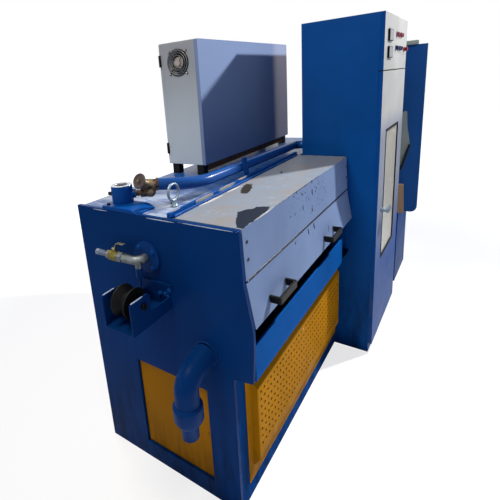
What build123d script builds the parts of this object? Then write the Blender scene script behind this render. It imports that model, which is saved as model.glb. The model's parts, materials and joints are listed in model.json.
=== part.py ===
from build123d import *
import os
from math import cos, radians, sin, sqrt

# Wire drawing machine: hooded drawing tank, gear housing behind it, tall drive
# cabinet and take-up housing beyond. All sizes are in millimetres.
# X runs from the inlet end to the take-up end, the operator stands on the -Y side
# and Z is up. The origin lies on the floor below the inlet end plate.

# Overall machine
BODY_LEN = 1200.0
BODY_TOP = 1180.0
FRONT_Y = -343.0
REAR_Y = 366.0
HOOD_LINE_Y = -118.0
HOUSING_LEN = 1860.0
HOUSING_STEP = 6.0
HOUSING_R = 12.0
SEAT = 0.3
RUN_GAP = 0.05
CUT = 1.0

# Inlet end plate
PLATE_T = 18.0
PLATE_TOP_Y = -393.0
PLATE_MID_Y = -400.0
PLATE_LOW_Y = -428.0
CHIN_H = 14.0
CHIN_IN = 8.0
SEAM_Z = 999.0
TANK_Z = 634.0
NEAR_WIN_Y0 = -222.0
NEAR_WIN_Y1 = 131.0
NEAR_WIN_Z0 = 85.0
NEAR_WIN_Z1 = 520.0
NEAR_COVER_T = 3.0
NEAR_COVER_DEEP = 12.0

# Base front with its raised perforated tray
BASE_SHEET = 5.0
TRAY_X0 = 70.0
TRAY_Z0 = 76.0
TRAY_Z1 = 606.0
TRAY_SIDE_LIP = 35.0
TRAY_EDGE_LIP = 58.0
TRAY_SIDE_RUN = 8.0
TRAY_EDGE_RUN = 41.0
TRAY_RISE = 28.0
TRAY_SHEET = 3.0

# Tank under the hood
FLOOR_T = 6.0
RAIL_H = 140.0
RAIL_T = 8.0
RAIL_IN = 4.0
RAIL_LEN = 1028.0
RAIL_CORNER_R = 26.0
FAR_WALL_T = 8.0
FAR_WALL_IN = 24.0
FAR_WALL_DROP = 12.0

# Hood and flap
HOOD_SHEET = 4.0
HOOD_GAP = 5.0
HOOD_FAR_GAP = 7.0
HOOD_REAR_GAP = 1.5
HINGE_R = 6.0
HINGE_PIN_R = 2.5
HINGE_LEN = 44.0
HINGE_COUNT = 6
HINGE_END = 10.0
HINGE_UP = 2.0
HINGE_LEAF_T = 4.0
BAR_W = 12.0
BAR_H = 16.0
BAR_GAP = 2.0
FLAP_DROP = 163.0
FLAP_GAP = 9.0
FLAP_BARREL_R = 4.0
FLAP_PIN_R = 1.6
FLAP_LEAF_T = 3.0
HANDLE_SPAN = 150.0
HANDLE_REACH = 44.0
HANDLE_BAR = 12.0
HANDLE_WIDE = 26.0
HANDLE_R = 8.0
HANDLE_X = (219.0, 808.0)
HANDLE_UP = 46.0

# Stepped drawing cones in the tank
CONE_X = (380.0, 820.0)
CONE_Z = 880.0
CONE_RADII = (105.0, 92.0, 80.0, 69.0, 59.0)
CONE_STEP = 28.0
CONE_FLANGE = 8.0
CONE_RIM = 6.0
CONE_SHAFT_R = 30.0
CONE_BORE_GAP = 30.0

# Tall drive cabinet
CAB_LEN = 660.0
CAB_FRONT_Y = -535.0
CAB_REAR_Y = -145.0
CAB_H = 1882.0
CAB_SHEET = 4.0
CAB_PLINTH = 60.0
PANEL_H = 269.0
PANEL_T = 20.0
DOOR_T = 20.0
DOOR_GAP = 5.0
DOOR_SIDE_GAP = 1.0
DOOR_SHEET = 4.0
WIN_X0 = 145.0
WIN_X1 = 498.0
WIN_Z0 = 560.0
WIN_HEAD = 308.0
WIN_R = 18.0
WIN_BEAD = 15.0
GLASS_T = 4.0
DOOR_BARREL_R = 7.0
DOOR_PIN_R = 4.0
DOOR_BARREL_H = 42.0
DOOR_BARREL_GAP = 2.0
DOOR_HINGE_END = 170.0
DOOR_AXIS_OUT = 8.0
DOOR_LEAF_T = 3.0
DOOR_LEAF_LEN = 40.0
GRIP_X = 95.0
GRIP_Z = 868.0
GRIP_R = 11.0
GRIP_STEM = 34.0
GRIP_LEN = 70.0
GRIP_T = 12.0
GRIP_OUT = 42.0

# Meters and buttons on the control panel: from its near end and its lower edge
METER_W = 96.0
METER_H = 56.0
METER_T = 9.0
METER_AT = ((128.0, 167.0), (128.0, 85.0))
BUTTON_R = 13.0
BUTTON_T = 16.0
BUTTON_AT = ((300.0, 179.0), (365.0, 179.0), (300.0, 109.0), (365.0, 109.0), (430.0, 109.0))
STOP_R = 20.0
STOP_STEM_R = 12.0
STOP_STEM = 20.0
STOP_CAP = 10.0
STOP_AT = (588.0, 107.0)

# Take-up end
TAKEUP_X = 2150.0
TAKEUP_LEN = 450.0
TAKEUP_H = 1757.0
TAKEUP_WING_Y = -640.0
TAKEUP_FRONT_IN = 120.0
TAKEUP_TOP_IN = 20.0
TAKEUP_R = 20.0
WING_T = 12.0
WING_R = 45.0
LINK_H = 590.0
LINK_BACK = 40.0
GUARD_BACK = 4.0
GUARD_END = 60.0
GUARD_H = 620.0
GUARD_LEAN = 110.0
GUARD_RISE = 100.0
GUARD_T = 5.0

# Control box on the gear housing
BOX_X = 620.0
BOX_LEN = 1045.0
BOX_DEEP = 233.0
BOX_UP = 46.0
BOX_H = 598.0
BOX_R = 10.0
BOX_DOOR_T = 22.0
LEG_W = 40.0
LEG_END_IN = 4.0
LEG_SIDE_IN = 18.0
BOX_HINGE_R = 6.0
BOX_HINGE_HALF = 28.0
BOX_HINGE_END = 82.0
FAN_IN = 119.0
FAN_DOWN = 97.0
FAN_OUT_R = 58.0
FAN_RING_W = 5.0
FAN_RING_T = 5.0
FAN_CENTRE_R = 15.0
FAN_ARMS = 4
FAN_ARM_R = 2.0
FAN_ARM_REACH = 72.0
FAN_LUG_R = 6.0
FAN_DEEP = 30.0
FAN_WELL = 42.0
FAN_BACK = 5.0
FAN_HUB_R = 28.0
FAN_BLADES = 7
FAN_BLADE_MID = 38.0
FAN_BLADE_LEN = 26.0
FAN_BLADE_W = 30.0
FAN_BLADE_T = 2.5
FAN_PITCH = 40.0
FAN_PIN_R = 4.0

# Open stub on its boss
STUB_X = 71.0
STUB_Y = 165.0
STUB_R = 42.0
STUB_BORE_R = 30.0
STUB_H = 84.0
STUB_FLOOR = 10.0
STUB_PORT_Z = 45.0
STUB_PORT_R = 18.0
STUB_PORT_OUT = 10.0
BOSS_LEN = 100.0
BOSS_H = 14.0
BOSS_SLOPE = 30.0
BOSS_Y0 = 28.0
BOSS_Y1 = 212.0

# Feed valve beside the stub, with its handwheel
FEED_X = 140.0
FEED_Y = 77.0
FEED_UP = 76.0
FEED_NIPPLE_R = 12.0
FEED_ELBOW_R = 21.0
FEED_COLLAR_R = 19.0
FEED_COLLAR_LEN = 18.0
FEED_RISER_R = 16.0
FEED_BODY_R = 21.0
FEED_BODY_HALF = 34.0
FEED_NUT_R = 27.0
FEED_NUT_LEN = 11.0
BONNET_R = 12.0
BONNET_LEN = 46.0
BONNET_TILT = 25.0
SPINDLE_R = 5.0
SPINDLE_LEN = 72.0
WHEEL_AT = 62.0
WHEEL_R = 26.0
WHEEL_RIM = 4.5
WHEEL_WEB = 4.0
WHEEL_HUB_R = 11.0
WHEEL_HUB_LEN = 9.0

# Long pipe from the valve to the tall cabinet, with its bracket
PIPE_R = 24.15
PIPE_BEND_X = 262.0
PIPE_BEND_UP = 60.0
PIPE_Y = -66.0
PIPE_BEND_R = 200.0
PIPE_END_X = 1300.0
PIPE_END_UP = 42.0
PIPE_ELBOW_R = 47.0
STRAP_X = 608.0
STRAP_W = 36.0
STRAP_T = 8.0
STRAP_LEAN = 27.0
STRAP_OVER = 56.0

# Lifting eye
EYE_X = 150.0
EYE_Y = -30.0
EYE_R = 32.0
EYE_WIRE = 8.0
EYE_NECK = 8.0
EYE_SHANK_R = 9.0
EYE_COLLAR_R = 20.0
EYE_COLLAR_H = 6.0

# Inlet pipe, ball valve and drip tube on the end plate
INLET_Y = -2.0
INLET_Z = 1022.0
INLET_R = 16.85
INLET_OUT = 52.0
INLET_BEND = 30.0
INLET_END_Y = 95.0
FLANGE_R = 60.0
FLANGE_T = 10.0
UNION_R = 21.0
UNION_LEN = 22.0
VALVE_R = 20.0
VALVE_LEN = 44.0
NIPPLE_NUT_R = 17.0
NIPPLE_NUT_LEN = 14.0
NIPPLE_R = 12.0
NIPPLE_BORE_R = 8.0
NIPPLE_LEN = 62.0
NIPPLE_FLOOR = 8.0
TEE_R = 13.0
TEE_LEN = 42.0
DRIP_R = 4.0
DRIP_END_Z = 905.0
STEM_R = 5.0
STEM_NECK_R = 9.0
LEVER_T = 4.0
LEVER_W = 16.0
LEVER_LEN = 58.0
LEVER_TAIL = 12.0
LEVER_R = 6.0
LEVER_GAP = 5.0
STEM_OVER = 4.0

# Inlet pulley and its bracket
PUL_X = -152.0
PUL_Z = 924.0
PUL_R = 56.0
PUL_W = 64.0
PUL_RIM = 6.0
PUL_GROOVE = 22.0
PUL_BORE_R = 12.05
AXLE_R = 12.0
AXLE_OVER = 8.0
COLLAR_R = 19.0
CHEEK_Y0 = -105.0
CHEEK_Y1 = 30.0
CHEEK_T = 6.0
CHEEK_OUT = 212.0
CHEEK_Z0 = 838.0
CHEEK_Z1 = 960.0
CHEEK_R = 14.0
LOBE_LEN = 94.0
ARM_H = 50.0
BACK_T = 8.0
BACK_H = 92.0

# Drain elbow
DRAIN_Y = -235.0
DRAIN_Z = 668.0
DRAIN_R = 41.0
DRAIN_BORE_R = 26.0
DRAIN_OUT = 130.0
DRAIN_BEND = 112.0
SLEEVE_Z0 = 498.0
SLEEVE_Z1 = 572.0
SLEEVE_R = 53.0
SPOUT_Z = 440.0
SPOUT_R = 32.0
SPOUT_CONE_H = 28.0
SPOUT_CONE_R = 45.0
SPOUT_FLOOR = 10.0


def block(x0, x1, y0, y1, z0, z1):
    """Box between two corners."""
    centre = ((x0 + x1) / 2, (y0 + y1) / 2, (z0 + z1) / 2)
    return Pos(*centre) * Box(abs(x1 - x0), abs(y1 - y0), abs(z1 - z0))


def rod(p, q, r):
    """Round bar from p to q."""
    a = Vector(*p)
    b = Vector(*q)
    pl = Plane(origin=a, z_dir=b - a)
    return extrude(pl * Circle(r), (b - a).length)


def nut(p, q, r):
    """Hexagonal bar from p to q, r from its middle to a corner."""
    a = Vector(*p)
    b = Vector(*q)
    pl = Plane(origin=a, z_dir=b - a)
    return extrude(pl * RegularPolygon(r, 6), (b - a).length)


def along_x(pts, x0, x1):
    """Extrude a closed Y-Z outline from x0 to x1."""
    face = Plane.YZ.offset(x0) * make_face(Polyline(*pts, close=True))
    return extrude(face, x1 - x0)


def along_y(pts, y0, y1):
    """Extrude a closed X-Z outline from y0 to y1."""
    pl = Plane(origin=(0, y0, 0), x_dir=(1, 0, 0), z_dir=(0, -1, 0))
    return extrude(pl * make_face(Polyline(*pts, close=True)), y0 - y1)


def hood_y(z):
    """Outer face of the hood front at height z."""
    if z >= SEAM_Z:
        k = (z - SEAM_Z) / (BODY_TOP - SEAM_Z)
        return PLATE_MID_Y + k * (PLATE_TOP_Y - PLATE_MID_Y)
    k = (SEAM_Z - z) / FLAP_DROP
    return PLATE_MID_Y + k * (PLATE_LOW_Y - PLATE_MID_Y)


parts = {}
house_top = BODY_TOP - HOUSING_STEP

# Inlet end plate: the hood part leans out over the base
flap_z = SEAM_Z - FLAP_DROP
plate_pts = [
    (REAR_Y, 0),
    (FRONT_Y, 0),
    (FRONT_Y, TANK_Z - CHIN_H),
    (PLATE_LOW_Y + CHIN_IN, TANK_Z),
    (PLATE_LOW_Y, TANK_Z + RAIL_H),
    (PLATE_LOW_Y, flap_z),
    (PLATE_MID_Y, SEAM_Z),
    (PLATE_TOP_Y, BODY_TOP),
    (REAR_Y, BODY_TOP),
]
end_plate = along_x(plate_pts, 0, PLATE_T)
end_plate -= block(-CUT, PLATE_T + CUT, NEAR_WIN_Y0, NEAR_WIN_Y1, NEAR_WIN_Z0, NEAR_WIN_Z1)
parts["end_plate"] = end_plate

# Yellow cover, recessed in the end plate's window
parts["near_cover"] = block(
    NEAR_COVER_DEEP, NEAR_COVER_DEEP + NEAR_COVER_T,
    NEAR_WIN_Y0 + SEAT, NEAR_WIN_Y1 - SEAT, NEAR_WIN_Z0 + SEAT, NEAR_WIN_Z1 - SEAT,
)

# Base front: a sheet with a large window behind the tray's pan
rim_x0 = TRAY_X0 + TRAY_SIDE_LIP
rim_x1 = BODY_LEN - TRAY_SIDE_LIP
rim_z0 = TRAY_Z0 + TRAY_EDGE_LIP
rim_z1 = TRAY_Z1 - TRAY_EDGE_LIP
front = block(PLATE_T, BODY_LEN, FRONT_Y, FRONT_Y + BASE_SHEET, 0, TANK_Z)
front -= block(rim_x0, rim_x1, FRONT_Y - CUT, FRONT_Y + BASE_SHEET + CUT, rim_z0, rim_z1)
parts["base_front_frame"] = front


def pan(inset, y_open, y_flat):
    """Bevelled pan volume between its open rim and its flat face."""
    mid_x = (rim_x0 + rim_x1) / 2
    mid_z = (rim_z0 + rim_z1) / 2
    rim_l = rim_x1 - rim_x0 - 2 * inset
    rim_h = rim_z1 - rim_z0 - 2 * inset
    faces = []
    for y, run_x, run_z in ((y_open, 0.0, 0.0), (y_flat, TRAY_SIDE_RUN, TRAY_EDGE_RUN)):
        pl = Plane(origin=(mid_x, y, mid_z), x_dir=(1, 0, 0), z_dir=(0, -1, 0))
        faces.append((pl * Rectangle(rim_l - 2 * run_x, rim_h - 2 * run_z)).face())
    return loft(faces)


# Perforated front panel: a shallow pan with bevelled sides, open at the back
tray = block(TRAY_X0, BODY_LEN, FRONT_Y - TRAY_SHEET, FRONT_Y, TRAY_Z0, TRAY_Z1)
tray += pan(0.0, FRONT_Y - TRAY_SHEET, FRONT_Y - TRAY_SHEET - TRAY_RISE)
tray -= pan(TRAY_SHEET, FRONT_Y, FRONT_Y - TRAY_RISE)
parts["base_tray_panel"] = tray

# Gear housing behind the tank, a closed casing down to the floor
housing = block(PLATE_T, HOUSING_LEN, HOOD_LINE_Y, REAR_Y, 0, house_top)
rear_edge = housing.edges().filter_by(Axis.X).group_by(Axis.Z)[-1].sort_by(Axis.Y)[-1:]
parts["drive_housing"] = fillet(rear_edge, HOUSING_R)

# Front rail: a heavy strip along the tank's front edge
rail_y = PLATE_LOW_Y + RAIL_IN
rail = block(PLATE_T, RAIL_LEN, rail_y, rail_y + RAIL_T, TANK_Z, TANK_Z + RAIL_H)
rail_end = rail.edges().filter_by(Axis.Y).group_by(Axis.X)[-1].sort_by(Axis.Z)[0]
parts["front_rail"] = fillet(rail_end, RAIL_CORNER_R)

# Tank floor behind the rail, and the tank's far wall
parts["tank_floor"] = block(PLATE_T, BODY_LEN, rail_y + RAIL_T, HOOD_LINE_Y, TANK_Z, TANK_Z + FLOOR_T)
parts["tank_far_wall"] = along_x(
    [
        (HOOD_LINE_Y, TANK_Z + FLOOR_T),
        (PLATE_LOW_Y + FAR_WALL_IN, TANK_Z + FLOOR_T),
        (PLATE_LOW_Y + FAR_WALL_IN, flap_z),
        (PLATE_MID_Y + FAR_WALL_IN, SEAM_Z),
        (PLATE_TOP_Y + FAR_WALL_IN, BODY_TOP - FAR_WALL_DROP),
        (HOOD_LINE_Y, BODY_TOP - FAR_WALL_DROP),
    ],
    BODY_LEN - FAR_WALL_T, BODY_LEN,
)

# Hood hinge: raised bar on the housing with its fixed barrels and one long pin
hinge_y = HOOD_LINE_Y - HINGE_UP
hinge_z = BODY_TOP + HINGE_UP
hood_x0 = PLATE_T + HOOD_GAP
hood_x1 = BODY_LEN - HOOD_FAR_GAP
hinge_step = (hood_x1 - hood_x0 - 2 * HINGE_END) / HINGE_COUNT
hinge_at = [hood_x0 + HINGE_END + k * hinge_step for k in range(HINGE_COUNT)]
hinge_end = hood_x1 - HINGE_END
swing_len = hinge_step - HINGE_LEN - 2 * SEAT
bar_y = hinge_y + HINGE_R + BAR_GAP
strip = block(PLATE_T, BODY_LEN, bar_y, bar_y + BAR_W, house_top, BODY_TOP + BAR_H)
for hx in hinge_at:
    strip += block(hx, hx + HINGE_LEN, hinge_y, bar_y + CUT, hinge_z - HINGE_LEAF_T, hinge_z)
    strip += rod((hx, hinge_y, hinge_z), (hx + HINGE_LEN, hinge_y, hinge_z), HINGE_R)
strip += rod((hinge_at[0], hinge_y, hinge_z), (hinge_end, hinge_y, hinge_z), HINGE_PIN_R)
parts["lid_hinge_strip"] = strip

# Hood: top sheet and the upper front as one folded sheet with its own barrels
hood_rear_y = hinge_y - HINGE_R - HOOD_REAR_GAP
seam_up = SEAM_Z + FLAP_GAP / 2
hood_out = [
    (hood_rear_y, BODY_TOP),
    (PLATE_TOP_Y, BODY_TOP),
    (PLATE_MID_Y, seam_up),
    (PLATE_MID_Y + HOOD_SHEET, seam_up),
    (PLATE_TOP_Y + HOOD_SHEET, BODY_TOP - HOOD_SHEET),
    (hood_rear_y, BODY_TOP - HOOD_SHEET),
]
hood = along_x(hood_out, hood_x0, hood_x1)
for hx in hinge_at:
    b0 = hx + HINGE_LEN + SEAT
    b1 = b0 + swing_len
    hood += block(b0, b1, hood_rear_y - CUT, hinge_y, BODY_TOP - HOOD_SHEET, BODY_TOP)
    hood += rod((b0, hinge_y, hinge_z), (b1, hinge_y, hinge_z), HINGE_R)
    hood -= rod((b0 - CUT, hinge_y, hinge_z), (b1 + CUT, hinge_y, hinge_z), HINGE_PIN_R + RUN_GAP)
seam_y = PLATE_MID_Y + HOOD_SHEET / 2
leaf_y0 = seam_y - FLAP_LEAF_T / 2
leaf_y1 = seam_y + FLAP_LEAF_T / 2
for hx in hinge_at:
    hood += rod((hx, seam_y, SEAM_Z), (hx + HINGE_LEN, seam_y, SEAM_Z), FLAP_BARREL_R)
    hood += block(hx, hx + HINGE_LEN, leaf_y0, leaf_y1, SEAM_Z, seam_up + CUT)
hood += rod((hinge_at[0], seam_y, SEAM_Z), (hinge_end, seam_y, SEAM_Z), FLAP_PIN_R)
parts["lid_top"] = hood

# Flap: the lower front, hung from the hood's front edge
flap_out = [
    (PLATE_MID_Y, SEAM_Z - FLAP_GAP / 2),
    (PLATE_LOW_Y, flap_z),
    (PLATE_LOW_Y + HOOD_SHEET, flap_z),
    (PLATE_MID_Y + HOOD_SHEET, SEAM_Z - FLAP_GAP / 2),
]
flap = along_x(flap_out, hood_x0, hood_x1)
for hx in hinge_at:
    b0 = hx + HINGE_LEN + SEAT
    b1 = b0 + swing_len
    flap += rod((b0, seam_y, SEAM_Z), (b1, seam_y, SEAM_Z), FLAP_BARREL_R)
    flap += block(b0, b1, leaf_y0, leaf_y1, SEAM_Z - FLAP_GAP / 2 - CUT, SEAM_Z)
    flap -= rod((b0 - CUT, seam_y, SEAM_Z), (b1 + CUT, seam_y, SEAM_Z), FLAP_PIN_R + RUN_GAP)
parts["lid_flap"] = flap

# Two bridge handles near the flap's lower edge
handle_z = flap_z + HANDLE_UP
handle_z0 = handle_z - HANDLE_WIDE / 2
handle_z1 = handle_z + HANDLE_WIDE / 2
handle_y = hood_y(handle_z)
bar_out = handle_y - HANDLE_REACH
bridges = []
for hx in HANDLE_X:
    x0 = hx - HANDLE_SPAN / 2
    x1 = hx + HANDLE_SPAN / 2
    bar = block(x0, x1, bar_out, bar_out + HANDLE_BAR, handle_z0, handle_z1)
    bridge = fillet(bar.edges().filter_by(Axis.Z).group_by(Axis.Y)[0], HANDLE_R)
    for fx in (x0, x1 - HANDLE_BAR):
        foot = block(fx, fx + HANDLE_BAR, bar_out + HANDLE_R, hood_y(handle_z1) + CUT, handle_z0, handle_z1)
        bridge += foot
    bridges.append(bridge)
slope = [
    (hood_y(flap_z + CUT) - SEAT, flap_z + CUT),
    (hood_y(SEAM_Z) - SEAT, SEAM_Z),
    (0.0, SEAM_Z),
    (0.0, flap_z + CUT),
]
wedge = along_x(slope, hood_x0, hood_x1)
parts["flap_handles"] = Compound(children=[b - wedge for b in bridges])

# Stepped drawing cones on the housing's front face
cones = []
for cx in CONE_X:
    pts = [(0.0, 0.0), (CONE_SHAFT_R, 0.0), (CONE_SHAFT_R, CONE_BORE_GAP)]
    depth = CONE_BORE_GAP
    for r in CONE_RADII:
        pts.append((r + CONE_FLANGE, depth))
        pts.append((r, depth + CONE_FLANGE))
        pts.append((r, depth + CONE_STEP))
        depth += CONE_STEP
    pts.append((CONE_RADII[-1] + CONE_FLANGE, depth))
    pts.append((CONE_RADII[-1] + CONE_FLANGE, depth + CONE_RIM))
    pts.append((0.0, depth + CONE_RIM))
    pl = Plane(origin=(cx, HOOD_LINE_Y, CONE_Z), x_dir=(1, 0, 0), z_dir=(0, 0, 1))
    profile = make_face(Polyline(*[(a, -b) for a, b in pts], close=True))
    axis = Axis((cx, HOOD_LINE_Y, CONE_Z), (0, 1, 0))
    cones.append(revolve(pl * profile, axis=axis, revolution_arc=360))
parts["drawing_cones"] = Compound(children=cones)

# Tall cabinet: sides, back, roof and floor around an open front
cx0 = BODY_LEN
cx1 = BODY_LEN + CAB_LEN
panel_z = CAB_H - PANEL_H
door_z0 = CAB_PLINTH
door_z1 = panel_z - DOOR_GAP
hinge_low = door_z0 + DOOR_HINGE_END
hinge_high = door_z1 - DOOR_HINGE_END - 2 * DOOR_BARREL_H
door_hinges = (hinge_low, (hinge_low + hinge_high) / 2, hinge_high)
door_axis = (cx1 + DOOR_AXIS_OUT, CAB_FRONT_Y - DOOR_T / 2)
parts["cabinet_near_wall"] = block(cx0, cx0 + CAB_SHEET, CAB_FRONT_Y, CAB_REAR_Y, 0, CAB_H)
far_wall = block(cx1 - CAB_SHEET, cx1, CAB_FRONT_Y, CAB_REAR_Y, 0, CAB_H)
for hz in door_hinges:
    low = (*door_axis, hz)
    mid = (*door_axis, hz + DOOR_BARREL_H)
    high = (*door_axis, hz + 2 * DOOR_BARREL_H)
    far_wall += block(cx1, door_axis[0] + DOOR_LEAF_T, door_axis[1], door_axis[1] + DOOR_LEAF_LEN,
                      hz, hz + DOOR_BARREL_H)
    far_wall += rod(low, mid, DOOR_BARREL_R)
    far_wall += rod(low, high, DOOR_PIN_R)
parts["cabinet_far_wall"] = far_wall
in_x0 = cx0 + CAB_SHEET
in_x1 = cx1 - CAB_SHEET
back_y = CAB_REAR_Y - CAB_SHEET
parts["cabinet_back_wall"] = block(in_x0, in_x1, back_y, CAB_REAR_Y, 0, CAB_H)
parts["cabinet_roof"] = block(in_x0, in_x1, CAB_FRONT_Y, back_y, CAB_H - CAB_SHEET, CAB_H)
parts["cabinet_floor"] = block(in_x0, in_x1, CAB_FRONT_Y, back_y, 0, CAB_PLINTH)

# Control panel across the top of the front
panel_y = CAB_FRONT_Y - PANEL_T
parts["control_panel"] = block(cx0, cx1, panel_y, CAB_FRONT_Y, panel_z, CAB_H)
meters = []
for mx, mz in METER_AT:
    meters.append(block(cx0 + mx - METER_W / 2, cx0 + mx + METER_W / 2, panel_y - METER_T, panel_y,
                        panel_z + mz - METER_H / 2, panel_z + mz + METER_H / 2))
parts["panel_meters"] = Compound(children=meters)
buttons = []
for bx, bz in BUTTON_AT:
    root = (cx0 + bx, panel_y, panel_z + bz)
    buttons.append(rod(root, (root[0], panel_y - BUTTON_T, root[2]), BUTTON_R))
stop_x = cx0 + STOP_AT[0]
stop_z = panel_z + STOP_AT[1]
stem = rod((stop_x, panel_y, stop_z), (stop_x, panel_y - STOP_STEM, stop_z), STOP_STEM_R)
cap = rod((stop_x, panel_y - STOP_STEM, stop_z), (stop_x, panel_y - STOP_STEM - STOP_CAP, stop_z), STOP_R)
buttons.append(stem + cap)
parts["panel_buttons"] = Compound(children=buttons)

# Door: a folded sheet pan with a glazed window, hinged at its far edge
door_x0 = cx0 + DOOR_SIDE_GAP
door_x1 = cx1 - DOOR_SIDE_GAP
door_y0 = CAB_FRONT_Y - DOOR_T
door_y1 = CAB_FRONT_Y - SEAT
win_x0 = cx0 + WIN_X0
win_x1 = cx0 + WIN_X1
win_z1 = door_z1 - WIN_HEAD
door = block(door_x0, door_x1, door_y0, door_y1, door_z0, door_z1)
door -= block(door_x0 + DOOR_SHEET, door_x1 - DOOR_SHEET, door_y0 + DOOR_SHEET, door_y1 + CUT,
              door_z0 + DOOR_SHEET, door_z1 - DOOR_SHEET)
win = block(win_x0, win_x1, door_y0 - CUT, door_y1 + CUT, WIN_Z0, win_z1)
door -= fillet(win.edges().filter_by(Axis.Y), WIN_R)
for hz in door_hinges:
    z0 = hz + DOOR_BARREL_H + SEAT
    z1 = z0 + DOOR_BARREL_H - DOOR_BARREL_GAP
    door += block(door_x1 - CUT, door_axis[0], door_axis[1] - DOOR_LEAF_T, door_axis[1] + DOOR_LEAF_T, z0, z1)
    door += rod((*door_axis, z0), (*door_axis, z1), DOOR_BARREL_R)
    door -= rod((*door_axis, z0 - CUT), (*door_axis, z1 + DOOR_BARREL_GAP), DOOR_PIN_R + RUN_GAP)
parts["cabinet_door"] = door
glass_y = door_y0 + DOOR_SHEET
parts["door_window"] = block(win_x0 - WIN_BEAD, win_x1 + WIN_BEAD, glass_y, glass_y + GLASS_T,
                             WIN_Z0 - WIN_BEAD, win_z1 + WIN_BEAD)

# Door grip
grip_x = cx0 + GRIP_X
grip = rod((grip_x, door_y0, GRIP_Z), (grip_x, door_y0 - GRIP_STEM, GRIP_Z), GRIP_R)
grip += block(grip_x - GRIP_R, grip_x + GRIP_LEN, door_y0 - GRIP_OUT, door_y0 - GRIP_OUT + GRIP_T,
              GRIP_Z - GRIP_R, GRIP_Z + GRIP_R)
parts["door_handle"] = grip

# Take-up end: hanging side wall, closed housing and the low base between
wing = block(TAKEUP_X, TAKEUP_X + WING_T, TAKEUP_WING_Y, CAB_REAR_Y, LINK_H, TAKEUP_H)
wing_corner = wing.edges().filter_by(Axis.X).group_by(Axis.Y)[0].sort_by(Axis.Z)[0]
parts["takeup_side_wall"] = fillet(wing_corner, WING_R)
takeup = block(TAKEUP_X + WING_T, TAKEUP_X + TAKEUP_LEN, TAKEUP_WING_Y + TAKEUP_FRONT_IN, CAB_REAR_Y,
               0, TAKEUP_H - TAKEUP_TOP_IN)
parts["takeup_housing"] = fillet(takeup.edges().filter_by(Axis.X).group_by(Axis.Z)[-1], TAKEUP_R)
link_y = CAB_FRONT_Y + LINK_BACK
parts["link_base"] = block(cx1, TAKEUP_X + WING_T, link_y, CAB_REAR_Y, 0, LINK_H)

# Wire guard, a small bent sheet on the low base
guard_y = link_y + GUARD_BACK
guard_z = LINK_H + GUARD_H
guard_pts = [
    (guard_y, LINK_H),
    (guard_y, guard_z),
    (guard_y + GUARD_LEAN, guard_z + GUARD_RISE),
    (guard_y + GUARD_LEAN, guard_z + GUARD_RISE - GUARD_T * sqrt(2)),
    (guard_y + GUARD_T, guard_z - GUARD_T * (sqrt(2) - 1)),
    (guard_y + GUARD_T, LINK_H),
]
parts["wire_guard"] = along_x(guard_pts, cx1 + GUARD_END, TAKEUP_X - GUARD_END)

# Control box on four short legs
bx0 = BOX_X
bx1 = BOX_X + BOX_LEN
by0 = REAR_Y - BOX_DEEP
by1 = REAR_Y
bz0 = BODY_TOP + BOX_UP
bz1 = bz0 + BOX_H
split_y = by1 - BOX_DOOR_T
fan_y = by0 + FAN_IN
fan_z = bz1 - FAN_DOWN
box = block(bx0, bx1, by0, split_y, bz0, bz1)
box = fillet(box.edges().filter_by(Axis.Y).group_by(Axis.Z)[-1], BOX_R)
box -= rod((bx0 - CUT, fan_y, fan_z), (bx0 + FAN_WELL, fan_y, fan_z), FAN_OUT_R)
parts["control_box"] = box
back = block(bx0, bx1, split_y, by1, bz0, bz1)
parts["box_rear_door"] = fillet(back.edges().filter_by(Axis.Y).group_by(Axis.Z)[-1], BOX_R)
legs = []
for lx in (bx0 + LEG_END_IN, bx1 - LEG_END_IN - LEG_W):
    for ly in (by0 + LEG_SIDE_IN, by1 - LEG_SIDE_IN - LEG_W):
        legs.append(block(lx, lx + LEG_W, ly, ly + LEG_W, house_top, bz0))
parts["box_legs"] = Compound(children=legs)
hinges = []
for hz in (bz0 + BOX_HINGE_END, bz1 - BOX_HINGE_END):
    pin = (bx0 - BOX_HINGE_R, by1 - BOX_HINGE_R)
    hinges.append(rod((*pin, hz - BOX_HINGE_HALF), (*pin, hz + BOX_HINGE_HALF), BOX_HINGE_R))
parts["box_hinges"] = Compound(children=hinges)

# Fan: guard ring and arms outside the box, rotor on a pin inside it
ring_x = bx0 - FAN_RING_T
frame = rod((ring_x, fan_y, fan_z), (bx0, fan_y, fan_z), FAN_OUT_R + FAN_RING_W)
frame -= rod((ring_x - CUT, fan_y, fan_z), (bx0 + CUT, fan_y, fan_z), FAN_OUT_R)
frame += rod((ring_x, fan_y, fan_z), (bx0, fan_y, fan_z), FAN_CENTRE_R)
arm_x = bx0 - FAN_RING_T / 2
for k in range(FAN_ARMS):
    a = radians(360 / FAN_ARMS * (k + 1 / 2))
    tip = (arm_x, fan_y + FAN_ARM_REACH * cos(a), fan_z + FAN_ARM_REACH * sin(a))
    frame += rod((arm_x, fan_y, fan_z), tip, FAN_ARM_R)
    frame += rod((ring_x, *tip[1:]), (bx0, *tip[1:]), FAN_LUG_R)
rotor_x = bx0 + FAN_BACK
fan_tip_x = rotor_x + FAN_DEEP
frame += rod((ring_x, fan_y, fan_z), (fan_tip_x, fan_y, fan_z), FAN_PIN_R)
parts["fan_frame"] = frame
rotor = rod((rotor_x, fan_y, fan_z), (fan_tip_x, fan_y, fan_z), FAN_HUB_R)
for k in range(FAN_BLADES):
    spin = Pos(rotor_x + FAN_DEEP / 2, fan_y, fan_z) * Rot(360 / FAN_BLADES * k, 0, 0)
    blade = Box(FAN_BLADE_T, FAN_BLADE_W, FAN_BLADE_LEN)
    rotor += spin * Pos(0, 0, FAN_BLADE_MID) * Rot(0, 0, FAN_PITCH) * blade
rotor -= rod((rotor_x - CUT, fan_y, fan_z), (fan_tip_x + CUT, fan_y, fan_z), FAN_PIN_R + RUN_GAP)
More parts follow.
